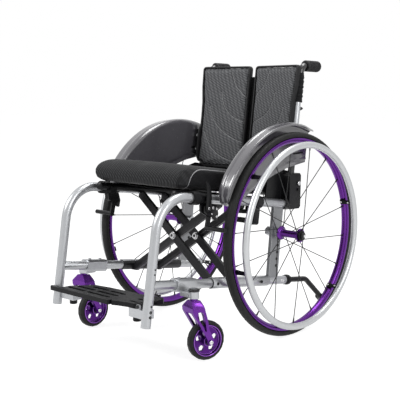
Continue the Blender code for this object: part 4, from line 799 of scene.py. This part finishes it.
CANE = 0.0099
HANDLE_Z = 0.7790
KNOB_Z = 0.6531
SILVER_Z = (0.4990, 0.7480)
GRIP_FRONT, RIB_FROM, RIB_TO, RIB_PITCH = 0.1140, 0.1160, 0.1726, 0.0056
grip_rubber = finish("grip_rubber", "black_rubber", (0.010, 0.010, 0.011), 0.55, 0.0, Specular_IOR_Level=0.3)
mottle(grip_rubber, 0.01, (0.007, 0.007, 0.008), (0.014, 0.014, 0.015))
uneven_gloss(grip_rubber, 0.002, 0.45, 0.65)
grain(grip_rubber, 0.0010, 2, 0.0001)
cane_black = finish("glossy_black_sleeve", "black_paint", (0.007, 0.007, 0.008), 0.22, 0.0, Coat_Weight=0.4,
                    Coat_Roughness=0.06)
mottle(cane_black, 0.02, (0.005, 0.005, 0.006), (0.012, 0.012, 0.013))
uneven_gloss(cane_black, 0.005, 0.16, 0.30)
for side, name in SIDES:
    body = f"{name}_frame"
    path = bent([(FRAME_X, cane_y(0.3615), 0.3615), (FRAME_X, cane_y(HANDLE_Z), HANDLE_Z), (FRAME_X, 0.1725, HANDLE_Z)],
                0.0262, 14)
    low, high = np.array([(FRAME_X, cane_y(z), z) for z in SILVER_Z])
    knob = spun([(0, 0.0285), (0.0012, 0.0284), (0.0022, 0.0270), (0.0056, 0.0168), (0.0060, 0.0148), (0.0056, 0.0132),
                 (0.0034, 0.0120), (0.0034, 0.0), (0, 0.0)], (FRAME_X, cane_y(KNOB_Z), KNOB_Z), (0, 1, 0), 24)
    foot = tube([path[0], low], CANE, start=eased_end(CANE, 0.0004), end=[(0, 0)])
    top = tube(np.vstack([[high], path[1:]]), CANE + 0.0004, start=[(0, 0)], end=eased_end(CANE, 0.0004))
    piece(f"{name}_back_tube", [mirrored(tube([low, high], CANE), side)], silver, body,
          f"{name}_back_cane")
    piece(f"{name}_back_tube_foot", [mirrored(foot, side)], cane_black, body)
    piece(f"{name}_handle_bend", [mirrored(top, side)], cane_black, body)
    piece(f"{name}_sling_knob", [mirrored(knob, side)], plug_black, body)
    y = np.linspace(RIB_FROM, RIB_TO, 140)
    ridges = 0.0157 + 0.0009 * np.clip(1.8 * np.cos((y - RIB_FROM) * 2 * np.pi / RIB_PITCH), -1, 1)
    ridges = np.where((y < 0.1190) | (y > 0.1700), 0.0166, ridges)
    profile = [(0.0, 0.1731), (CANE + 0.0007, 0.1731), (CANE + 0.0007, GRIP_FRONT), (0.0150, GRIP_FRONT),
               *zip(ridges, y), (0.0163, 0.1742), (0.0152, 0.1762), (0.0125, 0.1774), (0.0, 0.1776)]
    piece(f"{name}_ribbed_grip", [mirrored(spun(profile, (FRAME_X, 0, HANDLE_Z), (0, 1, 0), 48), side)], grip_rubber,
          body, f"{name}_push_grip", crease=50)

# Side guards
# Pressed from glossy grey plastic: a crescent beside the seat whose arch and nose turn over the tyre in a rounded
# shoulder, then step down along a ridge to a rolled lip. A slot near the rear takes the clamp on the back tube.

guard_grey = finish("glossy_grey", "grey_guard", (0.080, 0.077, 0.088), 0.3, 0.0, Coat_Weight=1.0, Coat_Roughness=0.16,
                    Coat_IOR=1.65)
mottle(guard_grey, 0.08, (0.070, 0.067, 0.077), (0.096, 0.093, 0.104))
uneven_gloss(guard_grey, 0.01, 0.18, 0.28)
PANEL_X = 0.2049
ARCH = 0.3186
GUARD_SLOT = (0.0554, 0.5236)
RIDGE_X, RIDGE_RUN, RIDGE_DROP = 0.2195, 0.0035, 0.0024


def evenly(line, count):
    """The line with its points at equal steps along it."""
    run = np.concatenate([[0], np.cumsum(np.linalg.norm(np.diff(line, axis=0), axis=1))])
    even = np.linspace(0, run[-1], count)
    return np.column_stack([np.interp(even, run, line[:, i]) for i in range(line.shape[1])])


def smoothed(line, passes):
    """Each inner point moves to a quarter of each neighbour plus half of itself, over and over."""
    for _ in range(passes):
        line = np.concatenate([line[:1], (line[:-2] + 2 * line[1:-1] + line[2:]) / 4, line[-1:]])
    return line


def guard_shape():
    """Columns run from the lower edge to the outline, which is the arch and then the nose, and over the tyre.
    Shoulder: point = outline + inward · b(1 - sin q), x = panel + b(1 - cos q). The ridge steps inwards by 2.4 mm
    where (x - 0.2195) / 0.0035 goes from 0 to 1, as 3s² - 2s³, and the lip rolls in by 4 mm."""
    angle = np.radians(np.linspace(22, -48, 120))
    arch = np.array([AXLE_Y, AXLE_Z]) + ARCH * np.column_stack([np.sin(angle), np.cos(angle)])
    nose = [(-0.2700, 0.4835), (-0.2862, 0.4575), (-0.2950, 0.4330), (-0.2944, 0.4120), (-0.2850, 0.3990),
            (-0.2680, 0.3940), (-0.2440, 0.3938)]
    outline = smoothed(evenly(np.vstack([arch, nose]), 200), 14)
    edge = np.array([(0.0905, 0.4955), (0.0065, 0.4830), (-0.0570, 0.4650), (-0.1175, 0.4430), (-0.1700, 0.4180),
                     (-0.1975, 0.4005), (-0.2200, 0.3970), (-0.2410, 0.3960)])
    edge = smoothed(evenly(edge, 200), 30)
    way = unit(np.gradient(outline, axis=0))
    inward = np.column_stack([-way[:, 1], way[:, 0]])
    bend = 0.0125 - 0.0045 * np.clip(np.linspace(-3, 2, 200), 0, 1)
    bend = np.minimum(bend, 0.42 * np.linalg.norm(outline - edge, axis=1))
    s = np.linspace(0, 1, 200)
    width = np.interp(s, [0, 0.20, 0.74, 0.86, 0.93, 1], [0.2190, 0.2440, 0.2440, 0.2400, 0.2300, 0.2130])
    shoulder = outline + inward * bend[:, None]
    v = np.linspace(0, 1, 36)
    panel = edge[:, None] + (shoulder - edge)[:, None] * v[None, :, None]
    depth = np.linalg.norm(shoulder - edge, axis=1)[:, None] * v[None]
    bead = 0.0018 * np.exp(-((depth - 0.011) / 0.0032) ** 2) * np.clip(s[::-1] * 8, 0, 1)[:, None]
    rows = [np.concatenate([(PANEL_X + bead)[..., None], panel], axis=-1)]
    q = np.linspace(0, np.pi / 2, 10)[1:]
    over = shoulder[:, None] - inward[:, None] * (bend[:, None] * np.sin(q))[..., None]
    rows.append(np.concatenate([(PANEL_X + bend[:, None] * (1 - np.cos(q)))[..., None], over], axis=-1))
    start = PANEL_X + bend
    share = np.array([0.05, 0.1, 0.16, 0.20, 0.24, 0.28, 0.32, 0.37, 0.45, 0.6, 0.75, 0.9, 1.0])
    across = start[:, None] + (np.maximum(width, start + 0.0015) - start)[:, None] * share
    step = np.clip((across - RIDGE_X) / RIDGE_RUN, 0, 1)
    drop = RIDGE_DROP * step ** 2 * (3 - 2 * step)
    rows.append(np.concatenate([across[..., None], outline[:, None] + inward[:, None] * drop[..., None]], axis=-1))
    lip = np.linspace(0, np.pi / 2, 5)[1:]
    rolled = (across[:, -1:] + 0.0022 * np.sin(lip))[..., None]
    fall = drop[:, -1:] + 0.0040 * (1 - np.cos(lip))
    rows.append(np.concatenate([rolled, outline[:, None] + inward[:, None] * fall[..., None]], axis=-1))
    return surface(np.concatenate(rows, axis=1), around=False)


for side, name in SIDES:
    body = f"{name}_frame"
    guard = piece(f"{name}_mudguard", [mirrored(guard_shape(), side)], guard_grey, body, f"{name}_side_guard",
                  crease=60)
    walled(guard, 0.0028)
    edge = guard.modifiers.new("edges", "BEVEL")
    edge.width, edge.segments, edge.limit_method, edge.angle_limit = 0.0007, 2, "ANGLE", math.radians(60)
    slit = swept([(PANEL_X - 0.0018, *GUARD_SLOT), (PANEL_X + 0.0018, *GUARD_SLOT)],
                 squarish(0.0480, 0.0058, 6, 40), flat=(0.0, 1.0, 0.06))
    piece(f"{name}_guard_slot", [mirrored(slit, side)], plug_black, body, crease=50)

# Back sling
# Black webbing cloth stretched between the back tubes, with a sleeve over the top of each. It gives towards the
# middle.

webbing = finish("black_webbing", "black_cloth", (0.006, 0.006, 0.007), 0.8, 0.0, Sheen_Weight=0.08,
                 Specular_IOR_Level=0.2)
mottle(webbing, 0.012, (0.004, 0.004, 0.005), (0.010, 0.010, 0.011))
grain(webbing, 0.0012, 2, 0.0003)
PAD_INNER = 0.0112
PAD_BACK = (0.0128, -0.0093)
SLING_Z = (0.4440, 0.7480)
SLEEVE_Z = (0.672, 0.7570)


def sag(x, front=0.0):
    """How far behind the tubes' plane the sling lies: it gives in a straight line towards the middle."""
    share = np.clip((np.abs(x) - PAD_INNER) / (0.1800 - PAD_INNER), 0, 1)
    return PAD_BACK[0] + (PAD_BACK[1] - PAD_BACK[0]) * share + front


share, z = np.linspace(-1, 1, 60), np.linspace(*SLING_Z, 56)
grid_x, grid_z = np.meshgrid(share, z, indexing="ij")
grid_x = grid_x * np.where(grid_z < 0.4800, 0.1595, 0.1690)
sheet = np.stack([grid_x, cane_y(grid_z) + sag(grid_x, 0.0012), grid_z], axis=-1)
back_cloth = piece("back_sling_cloth", [surface(sheet, around=False)], webbing, "left_frame", "back_sling")
walled(back_cloth, 0.0016)
for side, name in SIDES:
    low, high = np.array([(FRAME_X, cane_y(z), z) for z in SLEEVE_Z])
    s = np.linspace(0, 1, 60)
    run = low + (high - low) * s[:, None]
    folds = 0.0129 + 0.0007 * np.sin(s * 38) + 0.0004 * np.sin(s * 61 + 1.0) - 0.0015 * s ** 6
    end = [(0, 0.0106), (-0.002, 0.0106), (-0.002, 0)]
    sleeve = tube(run, folds, start=end, end=end)
    piece(f"{name}_sling_sleeve", [mirrored(sleeve, side)], webbing, f"{name}_frame")

# Back pads
# Two foam pads in grey spacer mesh, bound in black, with curved lines of pale stitching that mirror each other.
# The foam is swelled by cloth simulation; the sewn lines are pressed in after it.


def ribs(look, way, period, wobble=0.0, blob=0.03):
    """Rows across a direction, as 0 to 1: half of a sine of the distance along it, bent by slow noise."""
    across = node_of(look, "ShaderNodeVectorMath", operation="DOT_PRODUCT")
    wire(look, place_of(look), across.inputs[0])
    across.inputs[1].default_value = [2 * math.pi * c / period for c in way]
    turns = across.outputs["Value"]
    if wobble:
        turns = sums(look, "ADD", turns, sums(look, "MULTIPLY", clouds(look, blob, 1), wobble))
    return spread(look, sums(look, "SINE", turns), 0.0, 1.0, -1.0, 1.0)


def spacer_mesh(name, slot, dark, pale, rows, dashes, period):
    """Knitted spacer mesh: rows of short raised dashes over a darker ground."""
    look = finish(name, slot, dark, 0.85, 0.0, Sheen_Weight=0.06, Specular_IOR_Level=0.15)
    row = ribs(look, rows, period, 9.0, 0.05)
    dash = ribs(look, dashes, period * 2.6, 4.0, 0.02)
    raised = sums(look, "MULTIPLY", row, spread(look, dash, 0.55, 1.0, 0.2, 0.6))
    colour_by(look, raised, dark, pale)
    emboss(look, raised, 0.0005)
    return look


pad_mesh = spacer_mesh("grey_spacer_mesh", "grey_mesh", (0.030, 0.031, 0.034), (0.225, 0.228, 0.236), (-0.33, 0, 0.94),
                       (0.94, 0, 0.33), 0.0048)
binding = finish("black_binding", "black_cloth", (0.005, 0.005, 0.006), 0.6, 0.0, Specular_IOR_Level=0.3)
mottle(binding, 0.004, (0.004, 0.004, 0.005), (0.009, 0.009, 0.010))
grain(binding, 0.0009, 2, 0.0002)
pale_thread = finish("pale_thread", "grey_mesh", (0.34, 0.34, 0.35), 0.7, 0.0, Sheen_Weight=0.3)
mottle(pale_thread, 0.002, (0.30, 0.30, 0.31), (0.42, 0.42, 0.43))
STITCHES = (
    ((0.0742, 0.7636), (0.0658, 0.7385), (0.0541, 0.7166), (0.0418, 0.7058), (0.0172, 0.6826)),
    ((0.1072, 0.7020), (0.1013, 0.6760), (0.0910, 0.6520), (0.0781, 0.6380), (0.0618, 0.6240), (0.0200, 0.6080)),
    ((0.1458, 0.6561), (0.1406, 0.6371), (0.1339, 0.6181), (0.1161, 0.5963), (0.0950, 0.5780), (0.0551, 0.5573),
     (0.0180, 0.5440)),
    ((0.1598, 0.5727), (0.1446, 0.5413), (0.1226, 0.5167), (0.0938, 0.4990), (0.0624, 0.4880), (0.0200, 0.4790)))


PAD_MIDDLE = np.array([0.0980, 0.6230])
CLAMP_Z = 0.5402


def mesh_of(shape, name):
    data = bpy.data.meshes.new(name)
    data.from_pydata(shape[0].tolist(), [], shape[1].tolist())
    return data


def points_of(data):
    flat = np.empty(len(data.vertices) * 3)
    data.vertices.foreach_get("co", flat)
    return flat.reshape(-1, 3)


def with_modifiers(obj):
    """The object's mesh as its modifiers leave it, which then replaces what it had."""
    made = bpy.data.meshes.new_from_object(obj.evaluated_get(bpy.context.evaluated_depsgraph_get()))
    obj.modifiers.clear()
    obj.data = made
    return made


def stuffed(shape, name, voxel, cap, pressure=4.0):
    """Foam in its cover: the shape is remeshed evenly, swells under cloth pressure without gravity for 20 frames,
    and each point keeps at most cap of its movement. One subdivision then smooths it."""
    foam = bpy.data.objects.new(name, mesh_of(shape, name))
    scene.collection.objects.link(foam)
    even = foam.modifiers.new("even", "REMESH")
    even.mode, even.voxel_size = "VOXEL", voxel
    data = with_modifiers(foam)
    before = points_of(data)
    cover = foam.modifiers.new("cover", "CLOTH")
    cover.settings.use_pressure = True
    cover.settings.uniform_pressure_force = pressure
    cover.settings.effector_weights.gravity = 0.0
    for step in range(1, 21):
        scene.frame_set(step)
    after = points_of(foam.evaluated_get(bpy.context.evaluated_depsgraph_get()).data)
    move = after - before
    far = np.maximum(np.linalg.norm(move, axis=1, keepdims=True), 1e-9)
    foam.modifiers.clear()
    data.vertices.foreach_set("co", (before + move * np.minimum(1, cap / far)).ravel())
    scene.frame_set(1)
    finer = foam.modifiers.new("finer", "SUBSURF")
    finer.levels = finer.render_levels = 1
    data = with_modifiers(foam)
    bpy.data.objects.remove(foam)
    return data


def from_line(points, line):
    """Distance of flat points from a line of short runs."""
    start, stop = line[:-1], line[1:]
    run = stop - start
    share = ((points[:, None] - start) * run).sum(-1) / (run ** 2).sum(-1)
    near = start + run * np.clip(share, 0, 1)[..., None]
    return np.linalg.norm(points[:, None] - near, axis=-1).min(axis=1)


def level_at(places, known, values):
    """For each flat place, the mean of the values at the four nearest known places."""
    gap = ((places[:, None] - known) ** 2).sum(axis=-1)
    return values[np.argpartition(gap, 4, axis=1)[:, :4]].mean(axis=1)


def closed_band(line, section, inward_of):
    """A section carried round a closed line. Its first measure lies in the pad's plane, its second through it."""
    way = unit(np.roll(line, -1, 0) - np.roll(line, 1, 0))
    side_way = unit(np.cross(way, inward_of))
    up_way = np.cross(way, side_way)
    ring = line[:, None] + side_way[:, None] * section[None, :, :1] + up_way[:, None] * section[None, :, 1:]
    return surface(ring, along=True)


def pad_outline(steps=220):
    """The pad's outline as (distance from the middle, height), with rounded corners, evenly spaced. It leaves
    room at its lower outer corner for the plate beside the seat."""
    corners = np.array([(PAD_INNER, 0.4640, 0), (PAD_INNER, 0.7815, 0), (0.1880, 0.7815, 0), (0.1860, 0.7200, 0),
                        (0.1800, 0.6700, 0), (0.1790, 0.6200, 0), (0.1815, 0.4775, 0), (0.1618, 0.4770, 0),
                        (0.1618, 0.4640, 0)])
    start = (corners[0] + corners[-1]) / 2
    line = bent([start, *corners, start], 0.0075, 6)[:, :2]
    return evenly(line, steps + 1)[:-1]


def pad_depth(flat, front):
    """How far back a flat place on the pad lies."""
    return cane_y(flat[:, 1]) + sag(flat[:, 0], front)


lines = [smoothed(evenly(np.array(line), 60), 12) for line in STITCHES]
for side, name in SIDES:
    rim_line = pad_outline()
    shares = np.array([0, 0.3, 0.6, 0.8, 0.9, 0.95, 0.985])
    half = np.array([0.0066, 0.0066, 0.0066, 0.0066, 0.0066, 0.0060, 0.0040])
    layers = []
    for share, thick in [*zip(shares, -half), *zip(shares[::-1], half[::-1])]:
        flat = PAD_MIDDLE + (rim_line - PAD_MIDDLE) * share
        layers.append(np.column_stack([flat[:, 0], pad_depth(flat, -0.0082) + thick, flat[:, 1]]))
    data = stuffed(mirrored(surface(np.array(layers)), side), f"{name}_pad_foam", 0.0042, 0.0045)
    points = points_of(data)
    flat = np.abs(points[:, [0, 2]])
    depth = points[:, 1] - pad_depth(flat, 0.0)
    faces_front = np.clip((-0.0070 - depth) / 0.0050, 0, 1)
    gap = np.min([from_line(flat, line) for line in lines], axis=0)
    edge_gap = from_line(flat, np.vstack([rim_line, rim_line[:1]]))
    press = 0.0026 * np.exp(-(gap / 0.0024) ** 2) - 0.0010 * (1 - np.exp(-(gap / 0.014) ** 2))
    points[:, 1] += faces_front * press * np.clip(edge_gap / 0.010, 0, 1)
    beside = (flat[:, 0] > 0.1400) & (np.abs(flat[:, 1] - CLAMP_Z) < 0.0435)
    points[:, 1] = np.where(beside, np.minimum(points[:, 1], cane_y(flat[:, 1]) - 0.0164), points[:, 1])
    behind = np.minimum(points[:, 1], pad_depth(flat, 0.0) - 0.0002)
    points[:, 1] = np.where(beside, points[:, 1], behind) + DATUM_Y
    data.vertices.foreach_set("co", points.ravel())
    data.update()
    fitted(f"{name}_pad", data, pad_mesh, "left_frame", (f"{name}_back_pad",), 80)
    front = depth < -0.0085
    threads = []
    for line in lines:
        fine = evenly(line, 240)
        lie = level_at(fine, flat[front], points[front, 1]) - DATUM_Y - 0.0003
        fine = np.column_stack([side * fine[:, 0], lie, fine[:, 1]])
        threads.append(tube(fine, 0.00045 + 0.00025 * (np.arange(240) % 5 > 0)))
    piece(f"{name}_pad_stitching", threads, pale_thread, "left_frame", crease=80)
    inset = PAD_MIDDLE + (rim_line - PAD_MIDDLE) * 0.978
    edge_line = np.column_stack([inset[:, 0], pad_depth(inset, -0.0088), inset[:, 1]])
    clear = (inset[:, 0] > 0.160) & (np.abs(inset[:, 1] - CLAMP_Z) < 0.045)
    edge_line[:, 1] -= np.where(clear, 0.0085, 0.0)
    band = squarish(0.0066, 0.0172, 3.0, 20)
    edge_line[:, 1] = smoothed(np.vstack([edge_line, edge_line[:1]])[:, 1:2], 3)[:-1, 0]
    wrap = closed_band(edge_line, band, (0.0, 1.0, 0.0))
    piece(f"{name}_pad_binding", [mirrored(wrap, side)], binding, "left_frame")

# Seat sling
# Black webbing cloth laid over the two seat tubes, under the cushion. It gives by 4 mm towards the middle.

SEAT_HALF = 0.1494
x = np.linspace(-SEAT_HALF, SEAT_HALF, 60)
t = np.linspace(-0.3323, -0.1233, 30)
grid_x, grid_t = np.meshgrid(x, t, indexing="ij")
height = 0.0167 - 0.0040 * (1 - (grid_x / SEAT_HALF) ** 2)
points = np.stack(on_rail(grid_x, grid_t, height), axis=-1)
seat_cloth = piece("seat_sling_cloth", [surface(points, around=False)], webbing, "brace_a", "seat_sling")
walled(seat_cloth, 0.0018)

# Seat cushion
# A foam cushion swelled by cloth simulation. Its top and rounded nose are in ribbed black spacer mesh, its sides
# and lower edge in smooth black cloth, with a pale piping sewn in between them.

cushion_mesh = spacer_mesh("black_spacer_mesh", "grey_mesh", (0.007, 0.007, 0.008), (0.052, 0.053, 0.055),
                           (0.37, 0.83, 0.41), (0.9, -0.3, -0.3), 0.0040)
panel_mask = node_of(cushion_mesh, "ShaderNodeAttribute", attribute_name="smooth_panel")
colour_by(cushion_mesh, panel_mask.outputs["Fac"], (0.006, 0.006, 0.007), (0.006, 0.006, 0.007))
roughen(cushion_mesh, spread(cushion_mesh, panel_mask.outputs["Fac"], 0.82, 0.55, 0.0, 1.0))
piping_grey = finish("pale_piping", "grey_mesh", (0.30, 0.30, 0.31), 0.6, 0.0, Sheen_Weight=0.2)
mottle(piping_grey, 0.002, (0.26, 0.26, 0.27), (0.38, 0.38, 0.39))
CUSHION_FRONT, CUSHION_BACK = -0.4190, 0.0230
WAIST_H, TOP_RISE, LOW_DROP = 0.0455, 0.0332, 0.0235
PIPING_H = (0.0330, 0.0425, 0.0525, 0.0625, 0.0710, 0.0765, 0.0788)
PIPING_T = (-0.3726, -0.3716, -0.3692, -0.3630, -0.3536, -0.3400, -0.3240)
t = np.concatenate([CUSHION_FRONT + 0.045 * (1 - np.cos(np.linspace(0, np.pi / 2, 16))), np.linspace(-0.362, 0.010, 60),
                    CUSHION_BACK - 0.010 * (1 - np.sin(np.linspace(0, np.pi / 2, 7)))[1:]])
nose = np.clip((t - CUSHION_FRONT) / 0.047, 0, 1)
tail = np.clip((CUSHION_BACK - t) / 0.012, 0, 1)
top = WAIST_H + TOP_RISE * (1 - (1 - nose) ** 2.4) ** 0.5
top = np.minimum(top, WAIST_H + TOP_RISE * (1 - (1 - tail) ** 2) ** 0.5)
low = WAIST_H - LOW_DROP * np.clip((t - CUSHION_FRONT) / 0.012, 0, 1) ** 0.5
low = np.maximum(low, WAIST_H - LOW_DROP * np.clip((CUSHION_BACK - t) / 0.004, 0, 1) ** 0.5)
half = 0.1712 - 0.0127 / (1 + np.exp(-(t + 0.0660) / 0.004))
half = half - 0.004 * (1 - np.clip((t - CUSHION_FRONT) / 0.02, 0, 1)) ** 2
half = half - 0.006 * (1 - np.clip((CUSHION_BACK - t) / 0.010, 0, 1)) ** 2
section = squarish(2.0, 2.0, 9, 120)
rows = []
for place, h0, h1, w in zip(t, low, top, half):
    across = section[:, 0] * w
    rows.append(np.stack(on_rail(across, np.full(120, place), (h0 + h1) / 2 + section[:, 1] * (h1 - h0) / 2), axis=-1))
rows = np.array(rows) + (0.0, 0.0015, 0.0)
ends = [np.broadcast_to(rows[i].mean(axis=0), (1, 120, 3)) for i in (0, -1)]
data = stuffed(surface(np.concatenate([ends[0], rows, ends[1]])), "cushion_foam", 0.0058, 0.0048)
points = points_of(data)
along = points[:, 1] * math.cos(SLOPE) - (points[:, 2] - RAIL_Z) * math.sin(SLOPE)
rise = points[:, 1] * math.sin(SLOPE) + (points[:, 2] - RAIL_Z) * math.cos(SLOPE)
wide = np.abs(points[:, 0])
on_side = wide > np.interp(along, [-0.40, -0.072, -0.060], [0.1600, 0.1600, 0.1490])
behind_piping = (along > np.interp(rise, PIPING_H, PIPING_T)) & (rise < PIPING_H[-1] - 0.001)
smooth_part = (on_side & behind_piping) | (rise < 0.0310)
crown = 0.0022 * (1 - (wide / 0.17) ** 2) * np.clip((rise - 0.060) / 0.012, 0, 1)
points[:, 2] = points[:, 2] + crown
FLAT_BELOW = 0.0205
points[:, 2] = np.where(rise < FLAT_BELOW, points[:, 2] + (FLAT_BELOW - rise) * 0.9, points[:, 2])
mark = data.attributes.new("smooth_panel", "FLOAT", "POINT")
mark.data.foreach_set("value", smooth_part.astype(np.float32))
data.vertices.foreach_set("co", (points + (0.0, DATUM_Y, 0.0)).ravel())
data.update()
cushion = fitted("seat_cushion_foam", data, cushion_mesh, "brace_a", ("seat_cushion",), 80)
for side, name in SIDES:
    corners = [(PIPING_T[0] - 0.0004, 0.0240), *zip(PIPING_T, PIPING_H), (-0.30, 0.0795), (-0.0800, 0.0790),
               (0.0150, 0.0783)]
    t, h = evenly(np.array(corners), 220).T
    place = np.stack(np.broadcast_arrays(*on_rail(np.zeros(220), t, h - 0.0035)), axis=-1)
    outer = points[:, 0] * side > 0.1440
    place[:, 0] = side * level_at(place[:, 1:], points[outer, 1:], wide[outer])
    cord = smoothed(place, 6)
    piece(f"{name}_cushion_piping", [tube(cord, 0.0013)], piping_grey, "brace_a", crease=80)

# Soft parts of the folding chair
# The cushion, seat sling and piping, and the back sling and its pads each get a mesh of their own. When the
# chair folds, the two back tubes come 217 mm closer together.

seat_goods = [cushion, seat_cloth, *(bpy.data.objects[f"{name}_cushion_piping"] for side, name in SIDES)]
back_goods = [back_cloth, *(bpy.data.objects[f"{name}_pad{part}"] for side, name in SIDES
                            for part in ("", "_stitching", "_binding"))]
for soft in seat_goods:
    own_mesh(soft)
for soft in back_goods:
    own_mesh(soft)
